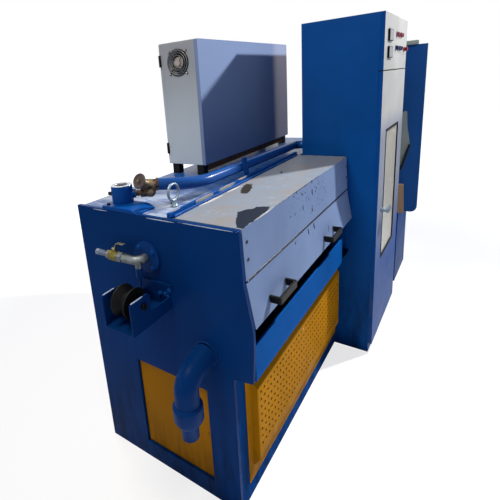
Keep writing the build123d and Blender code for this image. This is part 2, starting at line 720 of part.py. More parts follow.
parts["fan_rotor"] = rotor

# Open stub on a welded boss, with a side port for the feed valve
feed_dir = Vector(FEED_X - STUB_X, FEED_Y - STUB_Y, 0).normalized()
stub_mid = Vector(STUB_X, STUB_Y, BODY_TOP + STUB_PORT_Z)
port_face = stub_mid + feed_dir * (STUB_R + STUB_PORT_OUT)
boss_top = BODY_TOP + BOSS_H
boss_pts = [
    (BOSS_Y1, BODY_TOP),
    (BOSS_Y1, boss_top),
    (BOSS_Y0 + BOSS_SLOPE, boss_top),
    (BOSS_Y0, BODY_TOP),
]
stub = along_x(boss_pts, 0, BOSS_LEN)
stub += block(PLATE_T, BOSS_LEN, BOSS_Y0, BOSS_Y1, house_top, BODY_TOP)
stub += rod((STUB_X, STUB_Y, BODY_TOP), (STUB_X, STUB_Y, BODY_TOP + STUB_H), STUB_R)
stub += rod(tuple(stub_mid), tuple(port_face), STUB_PORT_R)
stub -= rod((STUB_X, STUB_Y, BODY_TOP + STUB_FLOOR), (STUB_X, STUB_Y, BODY_TOP + STUB_H + CUT), STUB_BORE_R)
parts["stub_pipe"] = stub

# Feed valve: nipple from the stub's port, elbow up, valve body and bonnet
feed_mid = Vector(FEED_X, FEED_Y, BODY_TOP + FEED_UP)
elbow_mid = Vector(FEED_X, FEED_Y, stub_mid.Z)
pipe_bend = Vector(PIPE_BEND_X, PIPE_Y, BODY_TOP + PIPE_BEND_UP)
out_dir = (pipe_bend - feed_mid).normalized()
tilt = radians(BONNET_TILT)
bonnet_dir = Vector(-cos(tilt), 0, sin(tilt))
valve = rod(tuple(port_face), tuple(elbow_mid), FEED_NIPPLE_R)
valve += nut(tuple(elbow_mid - feed_dir * (FEED_ELBOW_R + FEED_COLLAR_LEN)), tuple(elbow_mid), FEED_COLLAR_R)
valve += Pos(*elbow_mid) * Sphere(FEED_ELBOW_R)
valve += rod(tuple(elbow_mid), tuple(feed_mid), FEED_RISER_R)
body_0 = feed_mid - out_dir * FEED_BODY_HALF
body_1 = feed_mid + out_dir * FEED_BODY_HALF
valve += rod(tuple(body_0), tuple(body_1), FEED_BODY_R)
valve += nut(tuple(body_0), tuple(body_0 + out_dir * FEED_NUT_LEN), FEED_NUT_R)
valve += nut(tuple(body_1 - out_dir * FEED_NUT_LEN), tuple(body_1), FEED_NUT_R)
valve += rod(tuple(feed_mid), tuple(feed_mid + bonnet_dir * BONNET_LEN), BONNET_R)
valve += rod(tuple(feed_mid), tuple(feed_mid + bonnet_dir * SPINDLE_LEN), SPINDLE_R)
parts["feed_valve"] = valve
wheel = Torus(WHEEL_R, WHEEL_RIM) + Cylinder(WHEEL_R, WHEEL_WEB) + Cylinder(WHEEL_HUB_R, WHEEL_HUB_LEN)
wheel -= Cylinder(SPINDLE_R + RUN_GAP, WHEEL_HUB_LEN + CUT)
wheel_mid = feed_mid + bonnet_dir * WHEEL_AT
parts["valve_wheel"] = Plane(origin=wheel_mid, x_dir=(0, 1, 0), z_dir=bonnet_dir) * wheel

# Long pipe from the valve, forward, along behind the hood and into the tall cabinet
pipe_z = BODY_TOP + PIPE_END_UP
pipe_end = (PIPE_END_X, PIPE_Y, pipe_z)
long_path = FilletPolyline(
    tuple(body_1),
    tuple(pipe_bend),
    pipe_end,
    (PIPE_END_X, CAB_REAR_Y + SEAT, pipe_z),
    radius=(PIPE_BEND_R, PIPE_ELBOW_R),
)
parts["main_pipe"] = sweep(Plane(origin=long_path @ 0, z_dir=long_path % 0) * Circle(PIPE_R), path=long_path)

# Bracket for the pipe: a flat bar that leans, standing on the housing in front of it
strap_y = PIPE_Y - PIPE_R - SEAT
strap_z = pipe_z + STRAP_OVER
strap_pts = [
    (STRAP_X, house_top),
    (STRAP_X + STRAP_W, house_top),
    (STRAP_X + STRAP_W - STRAP_LEAN, strap_z),
    (STRAP_X - STRAP_LEAN, strap_z),
]
parts["pipe_bracket"] = along_y(strap_pts, strap_y, strap_y - STRAP_T)

# Lifting eye
eye_z = BODY_TOP + EYE_NECK + EYE_R + EYE_WIRE
eye = Pos(EYE_X, EYE_Y, eye_z) * Rot(90, 0, 0) * Torus(EYE_R, EYE_WIRE)
eye += rod((EYE_X, EYE_Y, house_top), (EYE_X, EYE_Y, eye_z - EYE_R), EYE_SHANK_R)
eye += rod((EYE_X, EYE_Y, house_top), (EYE_X, EYE_Y, BODY_TOP + EYE_COLLAR_H), EYE_COLLAR_R)
parts["lifting_eye"] = eye

# Inlet pipe: out of the plate, round an elbow and along it to the valve
vx = -INLET_OUT
inlet_path = FilletPolyline((0, INLET_Y, INLET_Z), (vx, INLET_Y, INLET_Z), (vx, INLET_END_Y, INLET_Z),
                            radius=INLET_BEND)
inlet = sweep(Plane(origin=(0, INLET_Y, INLET_Z), z_dir=(-1, 0, 0)) * Circle(INLET_R), path=inlet_path)
inlet += rod((0, INLET_Y, INLET_Z), (-FLANGE_T, INLET_Y, INLET_Z), FLANGE_R)
inlet += nut((vx, INLET_END_Y - UNION_LEN, INLET_Z), (vx, INLET_END_Y, INLET_Z), UNION_R)
inlet += rod((vx, INLET_Y, INLET_Z), (vx, INLET_Y, INLET_Z - INLET_R), TEE_R)
inlet += rod((vx, INLET_Y, INLET_Z - INLET_R), (vx, INLET_Y, INLET_Z - INLET_R - TEE_LEN), TEE_R)
inlet += rod((vx, INLET_Y, INLET_Z - INLET_R), (vx, INLET_Y, DRIP_END_Z), DRIP_R)
parts["inlet_pipe"] = inlet

# Ball valve on the pipe's end, with its hose nipple
vy0 = INLET_END_Y
vy1 = vy0 + VALVE_LEN
vym = (vy0 + vy1) / 2
nipple_y = vy1 + NIPPLE_NUT_LEN
nipple_end = nipple_y + NIPPLE_LEN
ball = rod((vx, vy0, INLET_Z), (vx, vy1, INLET_Z), VALVE_R)
ball += nut((vx, vy1, INLET_Z), (vx, nipple_y, INLET_Z), NIPPLE_NUT_R)
ball += rod((vx, nipple_y, INLET_Z), (vx, nipple_end, INLET_Z), NIPPLE_R)
ball -= rod((vx, vy1 + NIPPLE_FLOOR, INLET_Z), (vx, nipple_end + CUT, INLET_Z), NIPPLE_BORE_R)
lever_z = INLET_Z + VALVE_R + LEVER_GAP + SEAT
ball += rod((vx, vym, INLET_Z), (vx, vym, lever_z - SEAT), STEM_NECK_R)
ball += rod((vx, vym, INLET_Z), (vx, vym, lever_z + LEVER_T + STEM_OVER), STEM_R)
parts["ball_valve"] = ball
lever = block(vx - LEVER_W / 2, vx + LEVER_W / 2, vym - LEVER_LEN, vym + LEVER_TAIL, lever_z, lever_z + LEVER_T)
lever = fillet(lever.edges().filter_by(Axis.Z), LEVER_R)
lever -= rod((vx, vym, lever_z - CUT), (vx, vym, lever_z + LEVER_T + CUT), STEM_R + RUN_GAP)
parts["valve_lever"] = lever

# Pulley bracket: a welded trough on the plate whose two cheeks rise to carry the axle
cheek_pts = [
    (0, CHEEK_Z0),
    (-CHEEK_OUT, CHEEK_Z0),
    (-CHEEK_OUT, CHEEK_Z1),
    (LOBE_LEN - CHEEK_OUT, CHEEK_Z1),
    (LOBE_LEN - CHEEK_OUT, CHEEK_Z0 + ARM_H),
    (0, CHEEK_Z0 + ARM_H),
]
bracket = along_y(cheek_pts, CHEEK_Y1, CHEEK_Y0)
bracket = fillet(bracket.edges().filter_by(Axis.Y).group_by(Axis.Z)[-1], CHEEK_R)
bracket -= block(-CHEEK_OUT - CUT, CUT, CHEEK_Y0 + CHEEK_T, CHEEK_Y1 - CHEEK_T,
                 CHEEK_Z0 + CHEEK_T, CHEEK_Z1 + CUT)
bracket += block(-BACK_T, 0, CHEEK_Y0, CHEEK_Y1, CHEEK_Z0, CHEEK_Z0 + BACK_H)
bracket -= rod((PUL_X, CHEEK_Y0 - CUT, PUL_Z), (PUL_X, CHEEK_Y1 + CUT, PUL_Z), AXLE_R)
parts["pulley_bracket"] = bracket
pul_mid = (CHEEK_Y0 + CHEEK_Y1) / 2
w = PUL_W / 2
axle = rod((PUL_X, CHEEK_Y0 - AXLE_OVER, PUL_Z), (PUL_X, CHEEK_Y1 + AXLE_OVER, PUL_Z), AXLE_R)
axle += rod((PUL_X, CHEEK_Y0 + CHEEK_T, PUL_Z), (PUL_X, pul_mid - w - SEAT, PUL_Z), COLLAR_R)
axle += rod((PUL_X, pul_mid + w + SEAT, PUL_Z), (PUL_X, CHEEK_Y1 - CHEEK_T, PUL_Z), COLLAR_R)
parts["pulley_axle"] = axle
prof = [
    (PUL_BORE_R, -w),
    (PUL_R, -w),
    (PUL_R, PUL_RIM - w),
    (PUL_R - PUL_GROOVE, -PUL_RIM),
    (PUL_R - PUL_GROOVE, PUL_RIM),
    (PUL_R, w - PUL_RIM),
    (PUL_R, w),
    (PUL_BORE_R, w),
]
pl = Plane(origin=(PUL_X, pul_mid, PUL_Z), x_dir=(1, 0, 0), z_dir=(0, 0, 1))
pulley_axis = Axis((PUL_X, pul_mid, PUL_Z), (0, 1, 0))
parts["inlet_pulley"] = revolve(pl * make_face(Polyline(*prof, close=True)), axis=pulley_axis,
                                revolution_arc=360)

# Drain elbow with its sleeve and spout
dx = -DRAIN_OUT
drain_path = FilletPolyline((0, DRAIN_Y, DRAIN_Z), (dx, DRAIN_Y, DRAIN_Z), (dx, DRAIN_Y, SLEEVE_Z0),
                            radius=DRAIN_BEND)
drain = sweep(Plane(origin=(0, DRAIN_Y, DRAIN_Z), z_dir=(-1, 0, 0)) * Circle(DRAIN_R), path=drain_path)
drain += rod((dx, DRAIN_Y, SLEEVE_Z0), (dx, DRAIN_Y, SLEEVE_Z1), SLEEVE_R)
drain += Pos(dx, DRAIN_Y, SLEEVE_Z0 - SPOUT_CONE_H / 2) * Cone(SPOUT_R, SPOUT_CONE_R, SPOUT_CONE_H)
drain += rod((dx, DRAIN_Y, SPOUT_Z), (dx, DRAIN_Y, SLEEVE_Z0), SPOUT_R)
drain -= rod((dx, DRAIN_Y, SPOUT_Z - CUT), (dx, DRAIN_Y, SLEEVE_Z1 - SPOUT_FLOOR), DRAIN_BORE_R)
parts["drain_pipe"] = drain

os.makedirs("parts", exist_ok=True)
for name, shape in parts.items():
    export_step(shape, f"parts/{name}.step")
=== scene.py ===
"""Looks of the wire drawing machine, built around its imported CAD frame."""

import json
import logging
import math
from collections.abc import Callable, Sequence
from dataclasses import dataclass
from enum import Enum

import bmesh
import bpy
from mathutils import Matrix, Vector


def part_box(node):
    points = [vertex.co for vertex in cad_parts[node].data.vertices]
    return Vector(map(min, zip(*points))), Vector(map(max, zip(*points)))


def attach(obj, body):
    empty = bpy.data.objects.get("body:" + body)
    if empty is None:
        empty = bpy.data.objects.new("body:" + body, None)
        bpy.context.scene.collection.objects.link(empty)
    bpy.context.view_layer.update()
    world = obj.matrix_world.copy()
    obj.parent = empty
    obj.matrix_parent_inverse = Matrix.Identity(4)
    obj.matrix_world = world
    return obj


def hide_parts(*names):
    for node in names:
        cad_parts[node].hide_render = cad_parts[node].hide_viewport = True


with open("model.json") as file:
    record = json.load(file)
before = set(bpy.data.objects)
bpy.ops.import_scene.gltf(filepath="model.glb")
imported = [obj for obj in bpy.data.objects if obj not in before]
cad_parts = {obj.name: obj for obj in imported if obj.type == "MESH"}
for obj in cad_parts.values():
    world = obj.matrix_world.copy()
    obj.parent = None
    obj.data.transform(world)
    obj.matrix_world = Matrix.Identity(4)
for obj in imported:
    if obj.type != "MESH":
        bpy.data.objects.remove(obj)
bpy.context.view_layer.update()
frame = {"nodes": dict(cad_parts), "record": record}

LOG = logging.getLogger("wire_drawing_machine")
MM = 0.001
SHARP_DEG = 32.0
FLAT_DEG = 0.8
WELD_MM = 0.01

Socket = bpy.types.NodeSocket
Tree = bpy.types.NodeTree
Point = tuple[float, float, float]
Outline = tuple[tuple[float, float], ...]

TO_INLET: Point = (-1.0, 0.0, 0.0)
TO_OUTLET: Point = (1.0, 0.0, 0.0)
TO_FRONT: Point = (0.0, -1.0, 0.0)
TO_REAR: Point = (0.0, 1.0, 0.0)
UP: Point = (0.0, 0.0, 1.0)
DOWN: Point = (0.0, 0.0, -1.0)


class Join(Enum):
    """How several masks become one: Blender's name of the operation between them."""

    ANY = "MAXIMUM"
    ALL = "MULTIPLY"


class Kind(Enum):
    """Kind of an input of a Geometry Nodes tree: Blender's name of its socket."""

    SHAPE = "NodeSocketGeometry"
    NUMBER = "NodeSocketFloat"
    COUNT = "NodeSocketInt"
    VECTOR = "NodeSocketVector"


class Head(Enum):
    """Head of a fastener: the number of its corners."""

    HEX = 6
    ROUND = 20


def linear(colour: str) -> tuple[float, float, float, float]:
    """Turn a sRGB hex colour into linear light.

    Args:
        colour: Colour written as #RRGGBB.

    Returns:
        Linear red, green and blue, and an alpha of 1.
    """
    levels = [int(colour[k:k + 2], 16) / 255 for k in (1, 3, 5)]
    return (*[c / 12.92 if c <= 0.04045 else ((c + 0.055) / 1.055) ** 2.4 for c in levels], 1.0)


def shade(colour: str, share: float) -> tuple[float, float, float, float]:
    """Give a darker share of a sRGB hex colour, in linear light."""
    return (*[level * share for level in linear(colour)[:3]], 1.0)


def add(tree: Tree, kind: str, inputs: dict | None = None, **settings) -> bpy.types.Node:
    """Add a node with its settings, socket values and links.

    Args:
        tree: Node tree that the node goes into.
        kind: Blender's name of the node's type.
        inputs: Input name or number to a value, or to the output socket to link from.
        settings: Properties of the node itself.

    Returns:
        The new node.
    """
    node = tree.nodes.new(kind)
    for key, value in settings.items():
        setattr(node, key, value)
    for key, value in (inputs or {}).items():
        if isinstance(value, Socket):
            tree.links.new(value, node.inputs[key])
        else:
            node.inputs[key].default_value = value
    return node


def lay(tree: Tree, mask: Socket, under: object, over: object) -> Socket:
    """Lay one colour over another where a mask says.

    Args:
        tree: Node tree of the material.
        mask: Output socket of the mask.
        under: Colour, or socket, where the mask is 0.
        over: Colour, or socket, where the mask is 1.

    Returns:
        The colour's output socket.
    """
    return add(tree, "ShaderNodeMix", {0: mask, 6: under, 7: over}, data_type="RGBA").outputs[2]


def merge(tree: Tree, how: Join, *masks: object) -> Socket:
    """Join several masks into one.

    Args:
        tree: Node tree.
        how: Whether one mask is enough or all of them are needed.
        masks: Output sockets of the masks, or shares from 0 to 1.

    Returns:
        The joined mask's output socket.
    """
    whole = masks[0]
    for mask in masks[1:]:
        whole = add(tree, "ShaderNodeMath", {0: whole, 1: mask}, operation=how.value).outputs[0]
    return whole


@dataclass(frozen=True)
class Cloud:
    """Cloudy pattern whose lumps have a real size.

    low and high are the levels between which it turns into a mask, and stretch and turn
    draw it out to one side, as runs and scrapes are.
    """

    lump_mm: float
    detail: float = 4.0
    rough: float = 0.6
    low: float = 0.3
    high: float = 0.7
    stretch: Point = (1.0, 1.0, 1.0)
    turn: Point = (0.0, 0.0, 0.0)

    def field(self, tree: Tree, place: Socket) -> Socket:
        """Give the bare pattern.

        Args:
            tree: Node tree of the material.
            place: Socket of the point's place in metres.

        Returns:
            The pattern's output socket, from 0 to 1.
        """
        if self.stretch != (1.0, 1.0, 1.0):
            place = add(tree, "ShaderNodeMapping", {"Vector": place, "Scale": self.stretch,
                                                    "Rotation": self.turn}).outputs[0]
        lumps = add(tree, "ShaderNodeTexNoise", {"Vector": place, "Scale": 1 / (self.lump_mm * MM),
                                                 "Detail": self.detail, "Roughness": self.rough})
        return lumps.outputs["Fac"]

    def mask(self, tree: Tree, place: Socket) -> Socket:
        """Give a mask that rises smoothly where the pattern goes from low to high."""
        return add(tree, "ShaderNodeMapRange",
                   {0: self.field(tree, place), 1: self.low, 2: self.high},
                   interpolation_type="SMOOTHSTEP").outputs[0]


@dataclass(frozen=True)
class Fade:
    """Mask that rises smoothly along one axis, from 0 at the start to 1 at the end."""

    axis: str
    start_mm: float
    end_mm: float

    def mask(self, tree: Tree, place: Socket) -> Socket:
        """Give the mask's output socket."""
        along = add(tree, "ShaderNodeSeparateXYZ", {0: place}).outputs[self.axis]
        return add(tree, "ShaderNodeMapRange",
                   {0: along, 1: self.start_mm * MM, 2: self.end_mm * MM},
                   interpolation_type="SMOOTHSTEP").outputs[0]


@dataclass(frozen=True)
class Blot:
    """One worn, chipped or dirty patch with a ragged rim."""

    at_mm: Point
    half_mm: Point
    turn_deg: Point = (0.0, 0.0, 0.0)
    ragged: float = 0.5
    grain_mm: float = 22.0
    rim: float = 0.06

    def mask(self, tree: Tree, place: Socket) -> Socket:
        """Give the patch's mask.

        Args:
            tree: Node tree of the material.
            place: Socket of the point's place in metres.

        Returns:
            The mask's output socket, 1 inside the patch.
        """
        turn = tuple(math.radians(a) for a in self.turn_deg)
        inside = add(tree, "ShaderNodeMapping",
                     {"Vector": place, "Location": Vector(self.at_mm) * MM, "Rotation": turn,
                      "Scale": Vector(self.half_mm) * MM},
                     vector_type="TEXTURE").outputs[0]
        far = add(tree, "ShaderNodeVectorMath", {0: inside}, operation="LENGTH").outputs["Value"]
        grain = Cloud(self.grain_mm, 6.0, 0.7).field(tree, place)
        torn = add(tree, "ShaderNodeMath", {0: grain, 1: self.ragged, 2: far},
                   operation="MULTIPLY_ADD")
        edge = 1.0 + self.ragged / 2
        return add(tree, "ShaderNodeMapRange", {0: torn.outputs[0], 1: edge, 2: edge - self.rim},
                   interpolation_type="SMOOTHSTEP").outputs[0]


@dataclass(frozen=True)
class Flake:
    """One flaked patch of paint on a level face, with a measured, convex outline."""

    outline_mm: tuple[tuple[float, float], ...]
    ragged_mm: float = 7.0
    grain_mm: float = 16.0
    rim_mm: float = 0.8
    beyond_mm: float = 10000.0

    def mask(self, tree: Tree, place: Socket) -> Socket:
        """Give the flake's mask, from the depth inside the nearest side of its outline.

        Args:
            tree: Node tree of the material.
            place: Socket of the point's place in metres.

        Returns:
            The mask's output socket, 1 inside the outline.
        """
        grain = Cloud(self.grain_mm, 6.0, 0.7).field(tree, place)
        level = add(tree, "ShaderNodeMath", {0: grain, 1: 0.5}, operation="SUBTRACT").outputs[0]
        nearest = self.beyond_mm * MM
        for start, end in zip(self.outline_mm, self.outline_mm[1:] + self.outline_mm[:1]):
            side = Vector((end[1] - start[1], start[0] - end[0])).normalized()
            across = add(tree, "ShaderNodeVectorMath", {0: place, 1: (side.x, side.y, 0.0)},
                         operation="DOT_PRODUCT").outputs["Value"]
            depth = add(tree, "ShaderNodeMath", {0: across, 1: side.dot(Vector(start)) * MM},
                        operation="SUBTRACT").outputs[0]
            nearest = add(tree, "ShaderNodeMath", {0: nearest, 1: depth},
                          operation="MINIMUM").outputs[0]
        torn = add(tree, "ShaderNodeMath", {0: level, 1: self.ragged_mm * 2 * MM, 2: nearest},
                   operation="MULTIPLY_ADD").outputs[0]
        return add(tree, "ShaderNodeMapRange", {0: torn, 1: 0.0, 2: self.rim_mm * MM},
                   interpolation_type="SMOOTHSTEP").outputs[0]


def patches(tree: Tree, place: Socket, marks: Sequence[Blot | Flake]) -> Socket:
    """Give a mask that is 1 inside any of the marks."""
    return merge(tree, Join.ANY, *[mark.mask(tree, place) for mark in marks])


@dataclass(frozen=True)
class Finish:
    """One finish of the machine, made as a procedural material."""

    name: str
    slot: str

    def material(self) -> bpy.types.Material:
        """Give the finish's material, built the first time it is asked for.

        Returns:
            The material.
        """
        found = bpy.data.materials.get(self.name)
        if found:
            return found
        made = bpy.data.materials.new(self.name)
        made.use_nodes = True
        tree = made.node_tree
        tree.nodes.clear()
        place = add(tree, "ShaderNodeTexCoord").outputs["Object"]
        add(tree, "ShaderNodeOutputMaterial", {"Surface": self.shader(tree, place)})
        return made

    def shader(self, tree: Tree, place: Socket) -> Socket:
        """Build the finish's nodes and give the shader's output socket."""
        raise NotImplementedError


@dataclass(frozen=True)
class SprayedEnamel(Finish):
    """Two-pack enamel sprayed on steel sheet by hand.

    It gives the eye a glossy skin with a slight orange peel, soft shifts of tone,
    runs of grime that gather towards the floor and a few pale scuffs.
    """

    colour: str = "#0e529c"
    grime: str = "#081629"
    scuff: str = "#3f6ea6"
    roughness: float = 0.34
    uneven: tuple[float, float] = (-0.08, 0.14)
    gloss: float = 0.2
    peel_mm: float = 9.0
    peel_depth: float = 0.1
    tone: Cloud = Cloud(420.0, 3.0, low=0.3, high=0.75)
    darker: float = 0.8
    runs: Cloud = Cloud(60.0, 8.0, 0.7, 0.36, 0.66, stretch=(1.0, 1.0, 0.22))
    grime_z: tuple[float, float] = (760.0, -100.0)
    grime_share: float = 0.7
    scrapes: Cloud = Cloud(16.0, 8.0, 0.75, 0.66, 0.76, (1.0, 1.0, 3.5), (0.5, 0.3, 0.2))
    scraped: Cloud = Cloud(190.0, 3.0, low=0.5, high=0.62)
    scuffs: float = 0.5
    haze: Cloud = Cloud(130.0)

    def paint(self, tree: Tree, place: Socket) -> Socket:
        """Give the colour of the clean paint, with its soft shifts of tone."""
        return lay(tree, self.tone.mask(tree, place), linear(self.colour),
                   shade(self.colour, self.darker))

    def wear(self, tree: Tree, place: Socket, colour: Socket) -> Socket:
        """Lay grime and scuffs over the paint.

        Args:
            tree: Node tree of the material.
            place: Socket of the point's place in metres.
            colour: Socket of the paint's colour.

        Returns:
            The worn colour's output socket.
        """
        low = Fade("Z", *self.grime_z).mask(tree, place)
        dirt = merge(tree, Join.ALL, low, self.runs.mask(tree, place), self.grime_share)
        dirty = lay(tree, dirt, colour, linear(self.grime))
        scuffed = merge(tree, Join.ALL, self.scrapes.mask(tree, place),
                        self.scraped.mask(tree, place), self.scuffs)
        return lay(tree, scuffed, dirty, linear(self.scuff))

    def shader(self, tree: Tree, place: Socket) -> Socket:
        """Build the enamel's nodes.

        Args:
            tree: Node tree of the material.
            place: Socket of the point's place in metres.

        Returns:
            The shader's output socket.
        """
        colour = self.wear(tree, place, self.paint(tree, place))
        peel = Cloud(self.peel_mm, 2.0).field(tree, place)
        bump = add(tree, "ShaderNodeBump",
                   {"Height": peel, "Strength": self.peel_depth, "Distance": MM})
        rough = add(tree, "ShaderNodeMapRange", {0: self.haze.field(tree, place),
                                                 3: self.roughness + self.uneven[0],
                                                 4: self.roughness + self.uneven[1]})
        skin = add(tree, "ShaderNodeBsdfPrincipled",
                   {"Base Color": colour, "Roughness": rough.outputs[0], "Normal": bump.outputs[0],
                    "Specular IOR Level": self.gloss})
        return skin.outputs[0]


@dataclass(frozen=True)
class ChippedEnamel(SprayedEnamel):
    """Enamel with chips where knocks took it off down to another colour, and pale painted
    highlights laid along edges the same way.
    """

    chips: tuple[Blot, ...] = ()
    # Colour of the chips, and of the painted edge highlights where a finish uses it so.
    bare_and_highlight: str = "#c9c3b4"

    def wear(self, tree: Tree, place: Socket, colour: Socket) -> Socket:
        """Lay the chips and painted edge highlights over the grime and scuffs."""
        worn = super().wear(tree, place, colour)
        return lay(tree, patches(tree, place, self.chips), worn, linear(self.bare_and_highlight))


@dataclass(frozen=True)
class HoodEnamel(SprayedEnamel):
    """Pale enamel of the hood, the most handled surface of the machine.

    It gives the eye a lilac grey front and a duller, dusty top, a large dark flake along
    the fold with a pale painted highlight along the fold's edge, oily brown marks and a
    swarm of small dark knocks.
    """

    top: str = "#8c95a1"
    dust: str = "#948f8a"
    polished: str = "#a3a9b1"
    primer: str = "#262c39"
    oil: str = "#38342f"
    cream: str = "#d6d2c8"
    blue: str = "#154a8c"
    dusty: Cloud = Cloud(170.0, 6.0, 0.72, 0.42, 0.7)
    rubbed: Cloud = Cloud(60.0, 8.0, 0.75, 0.56, 0.66)
    rubbed_share: float = 0.5
    big_flakes: tuple[Flake, ...] = (
        Flake(((29.0, -393.0), (26.0, -374.0), (60.0, -352.0), (103.0, -327.0), (240.0, -334.0),
               (262.0, -379.0), (213.0, -390.0)), 11.0),
        Flake(((103.0, -331.0), (163.0, -299.0), (204.0, -317.0), (222.0, -340.0)), 10.0, 12.0),
    )
    oil_marks: tuple[Blot, ...] = (
        Blot((447.0, -184.0, 1180.0), (84.0, 22.0, 6.0), (0.0, 0.0, 20.0), 1.3, 14.0),
        Blot((478.0, -172.0, 1180.0), (30.0, 14.0, 6.0), (0.0, 0.0, 10.0), 1.5, 9.0),
        Blot((405.0, -199.0, 1180.0), (22.0, 8.0, 6.0), (0.0, 0.0, 10.0), 1.6, 8.0),
        Blot((760.0, -205.0, 1180.0), (22.0, 6.0, 6.0), (0.0, 0.0, 20.0), 1.8, 8.0),
    )
    # Cream chips on the rear edge, and a pale painted highlight along the front fold.
    cream_chips_and_fold_highlight: tuple[Blot, ...] = (
        Blot((250.0, -136.0, 1180.0), (80.0, 7.0, 6.0), (0.0, 0.0, -3.0), 1.7, 9.0),
        Blot((420.0, -138.0, 1180.0), (60.0, 6.0, 6.0), (0.0, 0.0, -3.0), 1.9, 8.0),
        # Painted highlight along the fold's edge.
        Blot((145.0, -395.5, 1180.0), (126.0, 3.4, 5.0), (0.0, 0.0, 1.0), 0.5, 20.0),
    )
    knocks: tuple[Blot, ...] = (
        Blot((648.0, -394.0, 1131.0), (7.0, 9.0, 17.0), ragged=1.5, grain_mm=7.0),
        Blot((692.0, -394.0, 1122.0), (5.0, 9.0, 7.0), ragged=1.4, grain_mm=6.0),
        Blot((650.0, -394.0, 1176.0), (5.0, 9.0, 9.0), ragged=1.4, grain_mm=6.0),
        Blot((534.0, -396.0, 1094.0), (5.0, 9.0, 12.0), ragged=1.4, grain_mm=6.0),
        Blot((640.0, -397.0, 1052.0), (6.0, 9.0, 10.0), ragged=1.5, grain_mm=6.0),
        Blot((647.0, -404.0, 974.0), (7.0, 9.0, 16.0), ragged=1.6, grain_mm=7.0),
        Blot((577.0, -404.0, 974.0), (6.0, 9.0, 14.0), ragged=1.6, grain_mm=6.0),
        Blot((430.0, -404.0, 977.0), (4.0, 9.0, 8.0), ragged=1.4, grain_mm=6.0),
        Blot((816.0, -412.0, 905.0), (3.0, 12.0, 26.0), ragged=0.7, grain_mm=8.0),
        Blot((560.0, -396.0, 1179.0), (290.0, 4.0, 3.0), ragged=2.2, grain_mm=10.0),
    )
    swarm: Blot = Blot((620.0, -399.0, 1080.0), (250.0, 30.0, 135.0), ragged=0.9, grain_mm=90.0)
    specks_mm: tuple[float, ...] = (7.0, 15.0)
    speck_reach: float = 0.36
    speck_chance: float = 0.78
    shake_grain_mm: float = 5.0
    shake_mm: Point = (4.0, 4.0, 6.0)
    top_z: float = 1178.5
    rear_y: float = -130.0

    def paint(self, tree: Tree, place: Socket) -> Socket:
        """Give the paint's colour: lilac grey front, duller dusty top and blue rear edge.

        Args:
            tree: Node tree of the material.
            place: Socket of the point's place in metres.

        Returns:
            The colour's output socket.
        """
        front = super().paint(tree, place)
        dusty = lay(tree, self.dusty.mask(tree, place), linear(self.top), linear(self.dust))
        rubbed = merge(tree, Join.ALL, self.rubbed.mask(tree, place), self.rubbed_share)
        worn = lay(tree, rubbed, dusty, linear(self.polished))
        above = Fade("Z", self.top_z, self.top_z + 1.2).mask(tree, place)
        rear = Fade("Y", self.rear_y, self.rear_y + 1.5).mask(tree, place)
        return lay(tree, rear, lay(tree, above, front, worn), linear(self.blue))

    def specks(self, tree: Tree, place: Socket) -> Socket:
        """Give the swarm of small knocks on the front, from two grids of random cells.

        Args:
            tree: Node tree of the material.
            place: Socket of the point's place in metres.

        Returns:
            The mask's output socket.
        """
        wobble = add(tree, "ShaderNodeTexNoise",
                     {"Vector": place, "Scale": 1 / (self.shake_grain_mm * MM),
                      "Detail": 3.0}).outputs["Color"]
        shaken = add(tree, "ShaderNodeVectorMath",
                     {0: wobble, 1: tuple(Vector(self.shake_mm) * MM), 2: place},
                     operation="MULTIPLY_ADD").outputs[0]
        found = []
        for size in self.specks_mm:
            cell = add(tree, "ShaderNodeTexVoronoi", {"Vector": shaken, "Scale": 1 / (size * MM)})
            chance = add(tree, "ShaderNodeSeparateColor", {0: cell.outputs["Color"]}).outputs
            reach = merge(tree, Join.ALL, chance[1], self.speck_reach)
            dot = add(tree, "ShaderNodeMath", {0: cell.outputs["Distance"], 1: reach},
                      operation="LESS_THAN")
            drawn = add(tree, "ShaderNodeMath", {0: chance[0], 1: self.speck_chance},
                        operation="GREATER_THAN")
            found.append(merge(tree, Join.ALL, dot.outputs[0], drawn.outputs[0]))
        front = Fade("Z", self.top_z, self.top_z - 1.0).mask(tree, place)
        return merge(tree, Join.ALL, merge(tree, Join.ANY, *found), self.swarm.mask(tree, place),
                     front)

    def wear(self, tree: Tree, place: Socket, colour: Socket) -> Socket:
        """Lay oil marks, flakes, chips, a painted highlight along the fold, knocks and specks over
        the paint.

        Args:
            tree: Node tree of the material.
            place: Socket of the point's place in metres.
            colour: Socket of the paint's colour.

        Returns:
            The worn colour's output socket.
        """
        level = Fade("Z", self.top_z, self.top_z + 0.8).mask(tree, place)
        flaked = merge(tree, Join.ALL, patches(tree, place, self.big_flakes), level)
        knocked = merge(tree, Join.ANY, patches(tree, place, self.knocks), self.specks(tree, place))
        worn = super().wear(tree, place, colour)
        for mask, over in ((patches(tree, place, self.oil_marks), self.oil), (flaked, self.primer),
                           (patches(tree, place, self.cream_chips_and_fold_highlight), self.cream),
                           (knocked, self.primer)):
            worn = lay(tree, mask, worn, linear(over))
        return worn


